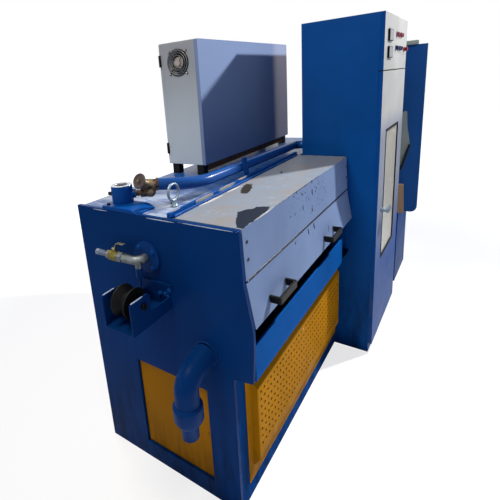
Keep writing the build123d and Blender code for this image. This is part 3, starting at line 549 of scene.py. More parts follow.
@dataclass(frozen=True)
class HousingEnamel(SprayedEnamel):
    """Glossy blue enamel whose level top carries a pale coat of dust and dried oil, with painted
    glare of the bright room on the glossy top.

    It gives the eye a milky, streaked top, whitest towards the inlet end where the painted
    glare is laid thickest, over clean blue sides.
    """

    # Pale coat of dust and dried oil, with painted glare.
    dust_and_glare: str = "#b3bfd2"
    streaks: Cloud = Cloud(70.0, 8.0, 0.7, 0.34, 0.6, stretch=(1.0, 0.35, 1.0))
    top_z: float = 1171.0
    glare_x: tuple[float, float] = (560.0, 120.0)
    dust_and_glare_gain: float = 0.8
    dust_and_glare_least: float = 0.12

    def wear(self, tree: Tree, place: Socket, colour: Socket) -> Socket:
        """Lay the pale coat of dust and painted glare over the top.

        Args:
            tree: Node tree of the material.
            place: Socket of the point's place in metres.
            colour: Socket of the paint's colour.

        Returns:
            The worn colour's output socket.
        """
        worn = super().wear(tree, place, colour)
        level = Fade("Z", self.top_z, self.top_z + 2.0).mask(tree, place)
        # Painted glare: the pale coat is laid thicker towards the inlet end.
        near = Fade("X", *self.glare_x).mask(tree, place)
        thick = add(tree, "ShaderNodeMath", {0: near, 1: self.dust_and_glare_gain, 2: self.dust_and_glare_least},
                    operation="MULTIPLY_ADD").outputs[0]
        dust_and_glare_mask = merge(tree, Join.ALL, self.streaks.mask(tree, place), thick, level)
        return lay(tree, dust_and_glare_mask, worn, linear(self.dust_and_glare))


@dataclass(frozen=True)
class TwoToneEnamel(SprayedEnamel):
    """Enamel of the tall cabinet's front: cream above, bluer below, blue on the folded edges.

    It gives the eye a clean cream panel that cools to lilac round the window and to blue
    towards the floor, with the wall's blue wrapped round its sides.
    """

    edge: str = "#0a4489"
    middle: str = "#9b9fab"
    low: str = "#285295"
    face: tuple[float, float] = (1202.0, 1858.0)
    middle_z: tuple[float, float] = (1420.0, 1260.0)
    low_z: tuple[float, float] = (1050.0, 430.0)

    def paint(self, tree: Tree, place: Socket) -> Socket:
        """Give the face's colour, cooler towards the floor, and the edges' colour.

        Args:
            tree: Node tree of the material.
            place: Socket of the point's place in metres.

        Returns:
            The colour's output socket.
        """
        face = super().paint(tree, place)
        for colour, limits in ((self.middle, self.middle_z), (self.low, self.low_z)):
            face = lay(tree, Fade("Z", *limits).mask(tree, place), face, linear(colour))
        near = Fade("X", self.face[0], self.face[0] - 1.0).mask(tree, place)
        far = Fade("X", self.face[1], self.face[1] + 1.0).mask(tree, place)
        return lay(tree, merge(tree, Join.ANY, near, far), face, linear(self.edge))


@dataclass(frozen=True)
class BoxEnamel(SprayedEnamel):
    """Powder coat of the control box, warm grey, with painted light: a darker lilac on its long
    front as painted shade, and paler ends towards the legs as painted bounce light from the
    housing's pale top.

    It gives the eye a dull, even skin.
    """

    # Painted shade: the long front is a darker, bluer copy of the grey.
    front: str = "#7f90b2"
    # Painted bounce light: the other faces turn to this paler colour towards the legs.
    low: str = "#c6d2d8"
    front_y: float = 152.0
    low_z: tuple[float, float] = (1780.0, 1290.0)

    def paint(self, tree: Tree, place: Socket) -> Socket:
        """Give the front's painted shade, and the other faces' colour with painted bounce light,
        paler towards the legs.

        Args:
            tree: Node tree of the material.
            place: Socket of the point's place in metres.

        Returns:
            The colour's output socket.
        """
        # Painted bounce light towards the legs, then painted shade on the long front.
        bounce_light_mask = Fade("Z", *self.low_z).mask(tree, place)
        side = lay(tree, bounce_light_mask, super().paint(tree, place), linear(self.low))
        ahead = Fade("Y", self.front_y + 1.0, self.front_y).mask(tree, place)
        return lay(tree, ahead, side, linear(self.front))


@dataclass(frozen=True)
class CastMetal(Finish):
    """Metal of a fitting, as cast, drawn or galvanised.

    It gives the eye a grainy skin with duller, stained patches.
    """

    colour: str = "#9a9c9c"
    stain: str = "#4a3a2a"
    metallic: float = 1.0
    roughness: float = 0.42
    uneven: tuple[float, float] = (-0.1, 0.2)
    grain_mm: float = 4.0
    grain_depth: float = 0.25
    tone: Cloud = Cloud(12.0, 3.0)
    darker: float = 0.86
    stained: float = 0.52

    def tint(self, tree: Tree, place: Socket) -> Socket:
        """Give the colour of the clean metal."""
        return lay(tree, self.tone.mask(tree, place), linear(self.colour),
                   shade(self.colour, self.darker))

    def shader(self, tree: Tree, place: Socket) -> Socket:
        """Build the metal's nodes.

        Args:
            tree: Node tree of the material.
            place: Socket of the point's place in metres.

        Returns:
            The shader's output socket.
        """
        stains = Cloud(30.0, 6.0, 0.65, self.stained, self.stained + 0.2)
        colour = lay(tree, stains.mask(tree, place), self.tint(tree, place), linear(self.stain))
        grain = Cloud(self.grain_mm, 3.0).field(tree, place)
        bump = add(tree, "ShaderNodeBump",
                   {"Height": grain, "Strength": self.grain_depth, "Distance": MM})
        rough = add(tree, "ShaderNodeMapRange", {0: stains.field(tree, place),
                                                 3: self.roughness + self.uneven[0],
                                                 4: self.roughness + self.uneven[1]})
        skin = add(tree, "ShaderNodeBsdfPrincipled",
                   {"Base Color": colour, "Roughness": rough.outputs[0], "Normal": bump.outputs[0],
                    "Metallic": self.metallic, "Specular IOR Level": 0.4})
        return skin.outputs[0]


@dataclass(frozen=True)
class BandedMetal(CastMetal):
    """Fitting screwed together from parts of different metal.

    It gives the eye a change of colour at each joint along the fitting.
    """

    axis: str = "Y"
    bands: tuple[tuple[float, str], ...] = ()

    def tint(self, tree: Tree, place: Socket) -> Socket:
        """Give the colour, which changes at each band's start along the axis.

        Args:
            tree: Node tree of the material.
            place: Socket of the point's place in metres.

        Returns:
            The colour's output socket.
        """
        colour = super().tint(tree, place)
        for start, metal in self.bands:
            passed = Fade(self.axis, start - 0.3, start + 0.3).mask(tree, place)
            colour = lay(tree, passed, colour, linear(metal))
        return colour


@dataclass(frozen=True)
class MouldedPlastic(Finish):
    """Moulded plastic or rubber, with a fine spark grain.

    It gives the eye an even colour with a soft sheen that breaks up close to.
    """

    colour: str = "#1a1b1d"
    roughness: float = 0.45
    grain_mm: float = 1.5
    dust: str = "#4c4c4e"
    dusty: Cloud = Cloud(40.0, 6.0, low=0.45, high=0.8)
    dust_share: float = 0.4

    def shader(self, tree: Tree, place: Socket) -> Socket:
        """Build the plastic's nodes.

        Args:
            tree: Node tree of the material.
            place: Socket of the point's place in metres.

        Returns:
            The shader's output socket.
        """
        dusty = merge(tree, Join.ALL, self.dusty.mask(tree, place), self.dust_share)
        colour = lay(tree, dusty, linear(self.colour), linear(self.dust))
        grain = Cloud(self.grain_mm, 2.0).field(tree, place)
        bump = add(tree, "ShaderNodeBump",
                   {"Height": grain, "Strength": 0.15, "Distance": 0.5 * MM})
        skin = add(tree, "ShaderNodeBsdfPrincipled",
                   {"Base Color": colour, "Roughness": self.roughness, "Normal": bump.outputs[0],
                    "Specular IOR Level": 0.12})
        return skin.outputs[0]


@dataclass(frozen=True)
class FloatGlass(Finish):
    """Float glass of the door's window.

    It gives the eye a warm pale pane whose pale warm colour is a painted reflection of a
    bright room, patchy in tone and in roughness.
    """

    # Painted reflection: pale warm colours stand for the bright room the pane reflects.
    colour: str = "#cfc8b4"
    haze: str = "#e6dfcb"
    roughness: float = 0.12
    dusty_roughness: float = 0.35

    def shader(self, tree: Tree, place: Socket) -> Socket:
        """Build the glass's nodes.

        Args:
            tree: Node tree of the material.
            place: Socket of the point's place in metres.

        Returns:
            The shader's output socket.
        """
        rough = add(tree, "ShaderNodeMapRange", {0: Cloud(110.0, 6.0).field(tree, place),
                                                 3: self.roughness, 4: self.dusty_roughness})
        tint = lay(tree, Cloud(260.0, 3.0).field(tree, place), linear(self.colour),
                   linear(self.haze))
        skin = add(tree, "ShaderNodeBsdfPrincipled",
                   {"Base Color": tint, "Roughness": rough.outputs[0], "Transmission Weight": 0.15})
        return skin.outputs[0]


@dataclass(frozen=True)
class InletPaint(CastMetal):
    """Galvanised pipe whose flange was sprayed blue with the plate.

    It gives the eye a blue flange that ends in overspray along the dull grey pipe, and a
    blue drip tube below.
    """

    # The blue is darkened as painted shade, like the shaded end plate's.
    blue: str = "#063a78"
    spray_x: float = -12.0
    drip_z: float = 1000.0
    overspray_mm: float = 3.0

    def shader(self, tree: Tree, place: Socket) -> Socket:
        """Mix blue enamel over the metal near the plate and on the drip tube.

        Args:
            tree: Node tree of the material.
            place: Socket of the point's place in metres.

        Returns:
            The shader's output socket.
        """
        metal = super().shader(tree, place)
        paint = add(tree, "ShaderNodeBsdfPrincipled",
                    {"Base Color": linear(self.blue), "Roughness": 0.4,
                     "Specular IOR Level": 0.1}).outputs[0]
        near = Fade("X", self.spray_x - self.overspray_mm, self.spray_x).mask(tree, place)
        low = Fade("Z", self.drip_z, self.drip_z - self.overspray_mm).mask(tree, place)
        painted = merge(tree, Join.ANY, near, low)
        return add(tree, "ShaderNodeMixShader", {0: painted, 1: metal, 2: paint}).outputs[0]


BLUE = SprayedEnamel("enamel_blue_sprayed", "blue_paint", colour="#0a4a90", gloss=0.04)
BLUE_GLOSS = SprayedEnamel("enamel_blue_fresh_gloss", "blue_paint", colour="#0b4f9c", roughness=0.3,
                           gloss=0.07)
BLUE_PIPE = SprayedEnamel("enamel_blue_wet_gloss", "blue_paint", colour="#0b4f9c", roughness=0.2,
                          gloss=0.2, scuffs=0.3)
BLUE_DUSTY = SprayedEnamel("enamel_blue_dusty_wall", "blue_paint", colour="#1c4a86", roughness=0.5,
                           gloss=0.05)
# A darker copy of the blue as painted shade, for the drain on the shaded end.
BLUE_SHADED = SprayedEnamel("enamel_blue_painted_shade", "blue_paint", colour="#063670", gloss=0.04)
BLUE_FRAME = SprayedEnamel("enamel_blue_matt_frame", "blue_paint", colour="#0a4488", roughness=0.5,
                           gloss=0.005)
BLUE_RAIL = SprayedEnamel("enamel_blue_brushed_rail", "blue_paint", colour="#0d56a0",
                          roughness=0.45, gloss=0.005, scuffs=0.3)
BLUE_HOUSING = HousingEnamel("enamel_blue_dusty_glare_top", "blue_paint", colour="#0f55a0",
                             roughness=0.26, gloss=0.16)
# End plate: a darker blue as painted shade, and pale painted highlights along its top rim.
BLUE_SHADE_RIM_HIGHLIGHT = ChippedEnamel("enamel_blue_painted_shade_rim_highlight", "blue_paint", colour="#063670", gloss=0.03,
                              bare_and_highlight="#c6cfdd", chips=(
    Blot((3.0, -78.0, 1174.0), (9.0, 74.0, 2.2), ragged=0.5, grain_mm=40.0),
    Blot((3.0, 228.0, 1174.0), (9.0, 46.0, 1.8), ragged=0.6, grain_mm=30.0),
    Blot((3.0, -275.0, 1177.0), (9.0, 118.0, 1.7), ragged=1.1, grain_mm=24.0)))
# Pulley bracket: a darker blue as painted shade, with pale painted highlights along the cheeks' top
# edges.
BLUE_BRACKET = ChippedEnamel("enamel_blue_painted_shade_cheek_highlights", "blue_paint", colour="#063670", gloss=0.04,
                             bare_and_highlight="#b4c3dc", chips=(
    Blot((-186.0, 27.0, 960.0), (34.0, 7.0, 2.6), ragged=0.5, grain_mm=16.0),
    Blot((-180.0, -102.0, 960.0), (34.0, 7.0, 2.6), ragged=0.5, grain_mm=16.0)))
BLUE_HINGE = ChippedEnamel("enamel_blue_chipped", "blue_paint", colour="#1353a0", gloss=0.06,
                           bare_and_highlight="#a3a29f", chips=(
    Blot((245.0, -112.0, 1194.0), (70.0, 7.0, 14.0), ragged=1.8, grain_mm=9.0),
    Blot((410.0, -112.0, 1194.0), (70.0, 7.0, 14.0), ragged=1.9, grain_mm=8.0),
    Blot((553.0, -106.0, 1196.0), (40.0, 12.0, 6.0), ragged=1.8, grain_mm=8.0),
    Blot((60.0, -106.0, 1196.0), (30.0, 4.0, 4.0), ragged=1.2, grain_mm=9.0)))
YELLOW = SprayedEnamel("enamel_yellow_sprayed", "yellow_paint", colour="#b87c0e", grime="#2c1d0c",
                       scuff="#8a6a2c", roughness=0.42, gloss=0.01, grime_z=(420.0, -100.0),
                       scuffs=0.3)
# A darker copy of the yellow as painted shade, for the cover on the shaded end plate.
YELLOW_SHADED = SprayedEnamel("enamel_yellow_painted_shade", "yellow_paint", colour="#aa6f0a",
                              grime="#2c1d0c", scuff="#8a6a2c", roughness=0.45, gloss=0.03,
                              grime_z=(420.0, -100.0), scuffs=0.3)
HOOD_GREY = HoodEnamel("enamel_lilac_grey_worn", "pale_paint", colour="#8093b6", grime="#3c4155",
                       scuff="#5f6a86", roughness=0.4, gloss=0.05, scuffs=0.2)
CREAM = TwoToneEnamel("enamel_cream_over_blue", "cream_paint", colour="#d3d1ca", grime="#5f6064",
                      scuff="#8d8f92", roughness=0.36, gloss=0.02, scuffs=0.25)
BOX_GREY = BoxEnamel("powder_coat_grey_painted_shade_and_bounce", "grey_paint", colour="#a6aaae", grime="#6d7178",
                     scuff="#7f858c", roughness=0.55, gloss=0.06, peel_mm=3.0, scuffs=0.25)
GUARD_GREY = SprayedEnamel("enamel_grey_green_thin", "grey_paint", colour="#8f9690",
                           grime="#5a5c58", scuff="#77776f", roughness=0.45, gloss=0.15)
TAN_BOARD = SprayedEnamel("board_tan_pressed", "grey_paint", colour="#a9896b", grime="#5c4a3a",
                          scuff="#c0a88c", roughness=0.8, gloss=0.1)
SUMP = SprayedEnamel("enamel_blue_oil_soaked", "blue_paint", colour="#0b1d33", grime="#05080c",
                     roughness=0.3, gloss=0.1)
BLACK = MouldedPlastic("plastic_black_moulded", "black_plastic", colour="#101113", dust="#2b2c30")
RUBBER = MouldedPlastic("rubber_black_extruded", "black_plastic", colour="#17171a", roughness=0.65,
                        dust="#2f2f33")
RED_CAP = MouldedPlastic("plastic_red_moulded", "button_plastic", colour="#942430", roughness=0.3,
                         dust="#6a3238")
PINK_CAP = MouldedPlastic("plastic_pink_moulded", "button_plastic", colour="#9c5a68", roughness=0.3,
                          dust="#7e5a60")
BLUE_CAP = MouldedPlastic("plastic_blue_moulded", "button_plastic", colour="#22305c", roughness=0.3,
                          dust="#3f4560")
METER_FACE = MouldedPlastic("plastic_meter_face", "black_plastic", colour="#8b8c90", roughness=0.2,
                            dust="#8e8f90")
HUB_LABEL = MouldedPlastic("paper_disc_plain", "black_plastic", colour="#b9aea6", roughness=0.6,
                           dust="#8f8681")
PLATED = CastMetal("steel_forged_plated", "steel", colour="#8595a4", stain="#4c5864", roughness=0.4)
ZINC = CastMetal("steel_zinc_plated", "steel", colour="#a9abad", stain="#77705f", roughness=0.35)
BRASS = BandedMetal("brass_cast_oiled", "brass", colour="#7d7440", stain="#4a4226", roughness=0.5,
                    bands=((139.0, "#8f868c"), (153.0, "#66748a"), (200.0, "#8995a5")))
OILED = CastMetal("steel_oiled_dark", "steel", colour="#2b2a2b", stain="#121110", roughness=0.35)
PULLEY_BLACK = MouldedPlastic("nylon_black_wire_worn", "black_plastic", colour="#0b0c0e",
                              roughness=0.55, dust="#1b1917")
BRIGHT = CastMetal("steel_ground_bright", "steel", colour="#c4c6c8", stain="#8d8b86", roughness=0.3)
WEATHERED = CastMetal("iron_cast_weathered", "brass", colour="#8a7a63", stain="#3f2a24",
                      metallic=0.6, roughness=0.55, stained=0.44)
HANDWHEEL = CastMetal("iron_cast_brown_enamel", "iron", colour="#574c48", stain="#3a302d",
                      metallic=0.3, roughness=0.55)
ALLOY = CastMetal("alloy_die_cast_beige", "brass", colour="#a39c80", stain="#6e6651",
                  roughness=0.45)
RUSTED = CastMetal("steel_rusted_primer", "steel", colour="#6b4630", stain="#3a2418", metallic=0.1,
                   roughness=0.8)
GLASS = FloatGlass("glass_float_painted_reflection", "glass")


def span(node: str) -> tuple[Vector, Vector]:
    """Give the lowest and highest corners of a CAD node, in millimetres."""
    low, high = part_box(node)
    return low / MM, high / MM


def body_of(node: str) -> str:
    """Give the name of the body that a CAD node belongs to."""
    bodies = frame["record"]["behaviour"]["bodies"]
    return next(body for body, members in bodies.items() if node in members)


def mount(name: str, mesh: bpy.types.Mesh, finish: Finish, body: str = "machine",
          stands_for: Sequence[str] = ()) -> bpy.types.Object:
    """Put a finished mesh on the machine.

    Args:
        name: Name of the piece.
        mesh: Its mesh, in place, in metres.
        finish: Finish that covers it.
        body: CAD body that it rides on.
        stands_for: CAD nodes that it is shown instead of.

    Returns:
        The piece's object.
    """
    mesh.materials.clear()
    mesh.materials.append(finish.material())
    piece = bpy.data.objects.new(name, mesh)
    bpy.context.scene.collection.objects.link(piece)
    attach(piece, body)
    if stands_for:
        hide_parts(*stands_for)
    LOG.info("built %s, %d faces", name, len(mesh.polygons))
    return piece


def bake(carrier: bpy.types.Object) -> bpy.types.Mesh:
    """Turn an object with its modifiers into a plain mesh, and drop the object.

    Args:
        carrier: Object whose modifiers are still live.

    Returns:
        The plain mesh.
    """
    graph = bpy.context.evaluated_depsgraph_get()
    mesh = bpy.data.meshes.new_from_object(carrier.evaluated_get(graph), depsgraph=graph)
    carrier.modifiers.clear()
    bpy.data.objects.remove(carrier)
    return mesh


def carry(mesh: bpy.types.Mesh) -> bpy.types.Object:
    """Give a mesh an object of its own while its modifiers work.

    Args:
        mesh: Mesh, in place, in metres.

    Returns:
        The object that carries the mesh.
    """
    carrier = bpy.data.objects.new("carrier", mesh)
    bpy.context.scene.collection.objects.link(carrier)
    return carrier


def crease(work: bmesh.types.BMesh) -> None:
    """Shade a mesh smooth but for its sharp edges."""
    for face in work.faces:
        face.smooth = True
    for edge in work.edges:
        angle = edge.calc_face_angle(math.pi)
        edge.smooth = len(edge.link_faces) == 2 and angle < math.radians(SHARP_DEG)


def finished(work: bmesh.types.BMesh, edge_mm: float = 0.0, segments: int = 2) -> bpy.types.Mesh:
    """Turn a bmesh into a mesh with rounded sharp edges and smooth shading.

    Args:
        work: The bmesh, which is freed.
        edge_mm: Width of the rounding, or 0 for none.
        segments: Faces across the rounding.

    Returns:
        The new mesh.
    """
    crease(work)
    mesh = bpy.data.meshes.new("finished")
    work.to_mesh(mesh)
    work.free()
    if not edge_mm:
        return mesh
    carrier = carry(mesh)
    bevel = carrier.modifiers.new("rounding", "BEVEL")
    bevel.width = edge_mm * MM
    bevel.segments = segments
    bevel.limit_method = "ANGLE"
    bevel.angle_limit = math.radians(SHARP_DEG)
    bevel.harden_normals = True
    return bake(carrier)


def soften(node: str, finish: Finish, edge_mm: float = 1.0, segments: int = 2) -> bpy.types.Object:
    """Show a CAD node as a merged copy with rounded edges, as folded and dressed metal has.

    Args:
        node: Name of the CAD node.
        finish: Finish that covers it.
        edge_mm: Width of the rounding, or 0 for none.
        segments: Faces across the rounding.

    Returns:
        The piece that stands for the node.
    """
    work = bmesh.new()
    work.from_mesh(frame["nodes"][node].data)
    bmesh.ops.remove_doubles(work, verts=work.verts, dist=WELD_MM * MM)
    bmesh.ops.dissolve_limit(work, angle_limit=math.radians(FLAT_DEG), verts=work.verts,
                             edges=work.edges)
    return mount(node + "_dressed", finished(work, edge_mm, segments), finish, body_of(node),
                 (node,))


def blocks(name: str, boxes: Sequence[tuple[Point, Point]], finish: Finish, edge_mm: float = 1.0,
           body: str = "machine") -> bpy.types.Object:
    """Make one piece of bars and plates, each between two corners, with rounded edges.

    Args:
        name: Name of the piece.
        boxes: Lowest and highest corner of each bar, in millimetres.
        finish: Finish that covers it.
        edge_mm: Width of the rounding.
        body: CAD body that it rides on.

    Returns:
        The piece's object.
    """
    work = bmesh.new()
    for low, high in boxes:
        size = Matrix.Diagonal(Vector((*[(b - a) * MM for a, b in zip(low, high)], 1.0)))
        middle = Vector([(a + b) / 2 * MM for a, b in zip(low, high)])
        bmesh.ops.create_cube(work, size=1.0, matrix=Matrix.Translation(middle) @ size)
    return mount(name, finished(work, edge_mm), finish, body)


def turned(profile_mm: Sequence[tuple[float, float]], at_mm: Point, axis: Point,
           steps: int = 32) -> bmesh.types.BMesh:
    """Turn a profile about an axis, as on a lathe.

    Args:
        profile_mm: Points as distance along the axis and radius, from one end to the other.
        at_mm: Start of the axis.
        axis: Direction of the axis.
        steps: Faces around the axis.

    Returns:
        The turned bmesh, closed and facing outwards.
    """
    work = bmesh.new()
    verts = [work.verts.new((radius * MM, 0.0, along * MM)) for along, radius in profile_mm]
    edges = [work.edges.new(pair) for pair in zip(verts, verts[1:])]
    bmesh.ops.spin(work, geom=verts + edges, cent=(0, 0, 0), axis=(0, 0, 1), angle=math.tau,
                   steps=steps, use_merge=True)
    bmesh.ops.remove_doubles(work, verts=work.verts, dist=WELD_MM * MM)
    bmesh.ops.recalc_face_normals(work, faces=work.faces)
    turn = Vector(axis).to_track_quat("Z", "Y").to_matrix().to_4x4()
    work.transform(Matrix.Translation(Vector(at_mm) * MM) @ turn)
    return work


def swept(section_mm: Sequence[tuple[float, float]], route_mm: Sequence[Point],
          side: Point) -> bmesh.types.BMesh:
    """Sweep a closed section along a route that lies in one plane, with mitred corners.

    Args:
        section_mm: Corners of the section, as distance to the side and upwards.
        route_mm: Points of the route.
        side: Direction square to the route's plane.

    Returns:
        The swept bmesh, capped and facing outwards.
    """
    work = bmesh.new()
    out = Vector(side).normalized()
    points = [Vector(p) for p in route_mm]
    rings = []
    for k, point in enumerate(points):
        came = (point - points[max(k - 1, 0)]).normalized()
        goes = (points[min(k + 1, len(points) - 1)] - point).normalized()
        ahead = (came + goes).normalized()
        up = out.cross(ahead)
        stretch = 1.0 / max(ahead.dot(goes if k == 0 else came), 0.3)
        rings.append([work.verts.new((point + out * a + up * b * stretch) * MM)
                      for a, b in section_mm])
    count = len(section_mm)
    for ring, following in zip(rings, rings[1:]):
        for k in range(count):
            nxt = (k + 1) % count
            work.faces.new((ring[k], ring[nxt], following[nxt], following[k]))
    work.faces.new(rings[0])
    work.faces.new(rings[-1])
    bmesh.ops.recalc_face_normals(work, faces=work.faces)
    return work


def round_section(radius_mm: float, steps: int = 24) -> list[tuple[float, float]]:
    """Give the corners of a round section."""
    turns = [math.tau * k / steps for k in range(steps)]
    return [(radius_mm * math.cos(a), radius_mm * math.sin(a)) for a in turns]


def closed_ring(wire_mm: float, ring_mm: float, steps: int) -> list[tuple[float, float]]:
    """Give the profile of a round wire that is turned into a ring, back to its first corner."""
    turns = [math.tau * k / steps for k in range(steps + 1)]
    return [(wire_mm * math.cos(a), ring_mm + wire_mm * math.sin(a)) for a in turns]


def plate(outline_mm: Sequence[tuple[float, float]], x_mm: float,
          thick_mm: float) -> bmesh.types.BMesh:
    """Cut a plate that faces along X from its outline of Y and Z.

    Args:
        outline_mm: Corners as Y and Z.
        x_mm: Where its near face stands along X.
        thick_mm: Its thickness along X.

    Returns:
        The plate's bmesh, closed and facing outwards.
    """
    work = bmesh.new()
    front = [work.verts.new(Vector((x_mm, y, z)) * MM) for y, z in outline_mm]
    back = [work.verts.new(Vector((x_mm + thick_mm, y, z)) * MM) for y, z in outline_mm]
    work.faces.new(front)
    work.faces.new(back)
    for k in range(len(front)):
        nxt = (k + 1) % len(front)
        work.faces.new((front[k], front[nxt], back[nxt], back[k]))
    bmesh.ops.recalc_face_normals(work, faces=work.faces)
    return work


def joined(parts: Sequence[bmesh.types.BMesh]) -> bmesh.types.BMesh:
    """Join several bmeshes into one, and free them.

    Args:
        parts: The bmeshes, which are freed.

    Returns:
        The joined bmesh.
    """
    whole = bmesh.new()
    for part in parts:
        mesh = bpy.data.meshes.new("part")
        part.to_mesh(mesh)
        part.free()
        whole.from_mesh(mesh)
        bpy.data.meshes.remove(mesh)
    return whole


def recipe(name: str, inputs: dict[str, Kind]) -> tuple[Tree, bpy.types.NodeOutputs]:
    """Start a Geometry Nodes tree with named inputs.

    Args:
        name: Name of the tree.
        inputs: Name of each input to its kind of socket.

    Returns:
        The tree, and its input node's sockets.
    """
    tree = bpy.data.node_groups.new(name, "GeometryNodeTree")
    for label, kind in {"Geometry": Kind.SHAPE, **inputs}.items():
        tree.interface.new_socket(label, in_out="INPUT", socket_type=kind.value)
    tree.interface.new_socket("Geometry", in_out="OUTPUT", socket_type=Kind.SHAPE.value)
    return tree, add(tree, "NodeGroupInput").outputs


def serve(tree: Tree, shape: Socket, finish: Finish) -> None:
    """End a tree: realize its instances, give them their material and put them out.

    Args:
        tree: The tree.
        shape: Socket of the shape, with its instances.
        finish: Finish that covers it.
    """
    real = add(tree, "GeometryNodeRealizeInstances", {0: shape}).outputs[0]
    dressed = add(tree, "GeometryNodeSetMaterial",
                  {"Geometry": real, "Material": finish.material()})
    add(tree, "NodeGroupOutput", {0: dressed.outputs[0]})


def grow(tree: Tree, start: bpy.types.Mesh, values: dict[str, object],
         tidy: Callable[[bpy.types.Object], None] | None = None) -> bpy.types.Mesh:
    """Run a Geometry Nodes tree on a mesh and give the plain result.

    Args:
        tree: The tree.
        start: Mesh that it starts from.
        values: Input name to its value.
        tidy: Adds modifiers that come after the tree.

    Returns:
        The finished mesh.
    """
    carrier = carry(start)
    nodes = carrier.modifiers.new("nodes", "NODES")
    nodes.node_group = tree
    for item in tree.interface.items_tree:
        if item.item_type == "SOCKET" and item.in_out == "INPUT" and item.name in values:
            nodes[item.identifier] = values[item.name]
    if tidy:
        tidy(carrier)
    mesh = bake(carrier)
    work = bmesh.new()
    work.from_mesh(mesh)
    crease(work)
    work.to_mesh(mesh)
    work.free()
    return mesh


def dots(places_mm: Sequence[Point]) -> bpy.types.Mesh:
    """Make a mesh of loose points.

    Args:
        places_mm: Place of each point.

    Returns:
        The mesh of points.
    """
    mesh = bpy.data.meshes.new("dots")
    mesh.from_pydata([Vector(p) * MM for p in places_mm], [], [])
    return mesh


@dataclass(frozen=True)
class Fasteners:
    """A set of like screws or bolts that look the same way, by Geometry Nodes."""

    name: str
    head: Head
    radius_mm: float
    height_mm: float
    axis: Point
    places_mm: Sequence[Point]
    finish: Finish
    washer_mm: float = 0.0
    washer_t_mm: float = 1.5
    chamfer: float = 0.8
    seed: int = 3

    def tree(self) -> Tree:
        """Build the tree: a chamfered head on a washer at each point, turned at random.

        Returns:
            The tree.
        """
        tree, given = recipe("fasteners_" + self.head.name.lower(), {
            "Head Radius": Kind.NUMBER, "Head Height": Kind.NUMBER, "Washer Radius": Kind.NUMBER,
            "Washer Thickness": Kind.NUMBER, "Axis": Kind.VECTOR, "Seed": Kind.COUNT})
        washer = add(tree, "GeometryNodeMeshCircle",
                     {"Vertices": Head.ROUND.value, "Radius": given["Washer Radius"]},
                     fill_type="NGON")
        washer = add(tree, "GeometryNodeExtrudeMesh", {"Mesh": washer.outputs[0],
                                                       "Offset Scale": given["Washer Thickness"]})
        circle = add(tree, "GeometryNodeMeshCircle",
                     {"Vertices": self.head.value, "Radius": given["Head Radius"]},
                     fill_type="NGON")
        straight = add(tree, "ShaderNodeMath", {0: given["Head Height"], 1: self.chamfer},
                       operation="MULTIPLY").outputs[0]
        rest = add(tree, "ShaderNodeMath", {0: given["Head Height"], 1: straight},
                   operation="SUBTRACT").outputs[0]
        shank = add(tree, "GeometryNodeExtrudeMesh",
                    {"Mesh": circle.outputs[0], "Offset Scale": straight})
        crown = add(tree, "GeometryNodeExtrudeMesh",
                    {"Mesh": shank.outputs[0], "Selection": shank.outputs["Top"],
                     "Offset Scale": rest})
        crown = add(tree, "GeometryNodeScaleElements", {"Geometry": crown.outputs[0],
                                                        "Selection": crown.outputs["Top"],
                                                        "Scale": self.chamfer})
        lift = add(tree, "ShaderNodeCombineXYZ", {"Z": given["Washer Thickness"]})
        crown = add(tree, "GeometryNodeTransform",
                    {"Geometry": crown.outputs[0], "Translation": lift.outputs[0]})
        both = add(tree, "GeometryNodeJoinGeometry")
        for piece in (washer, crown):
            tree.links.new(piece.outputs[0], both.inputs[0])
        aim = add(tree, "FunctionNodeAlignRotationToVector", {"Vector": given["Axis"]}, axis="Z")
        spread = add(tree, "GeometryNodeInstanceOnPoints",
                     {"Points": given["Geometry"], "Instance": both.outputs[0],
                      "Rotation": aim.outputs[0]})
        chance = add(tree, "FunctionNodeRandomValue",
                     {2: 0.0, 3: math.tau / 6, "Seed": given["Seed"]}, data_type="FLOAT")
        spin = add(tree, "ShaderNodeCombineXYZ", {"Z": chance.outputs[1]})
        spun = add(tree, "GeometryNodeRotateInstances",
                   {"Instances": spread.outputs[0], "Rotation": spin.outputs[0]})
        serve(tree, spun.outputs[0], self.finish)
        return tree

    def build(self, body: str = "machine") -> bpy.types.Object:
        """Grow the fasteners on their points and mount them.

        Args:
            body: CAD body that they ride on.

        Returns:
            The piece's object.
        """
        mesh = grow(self.tree(), dots(self.places_mm), {
            "Head Radius": self.radius_mm * MM, "Head Height": self.height_mm * MM,
            "Washer Radius": (self.washer_mm or self.radius_mm) * MM,
            "Washer Thickness": self.washer_t_mm * MM,
            "Axis": self.axis, "Seed": self.seed})
        return mount(self.name, mesh, self.finish, body)


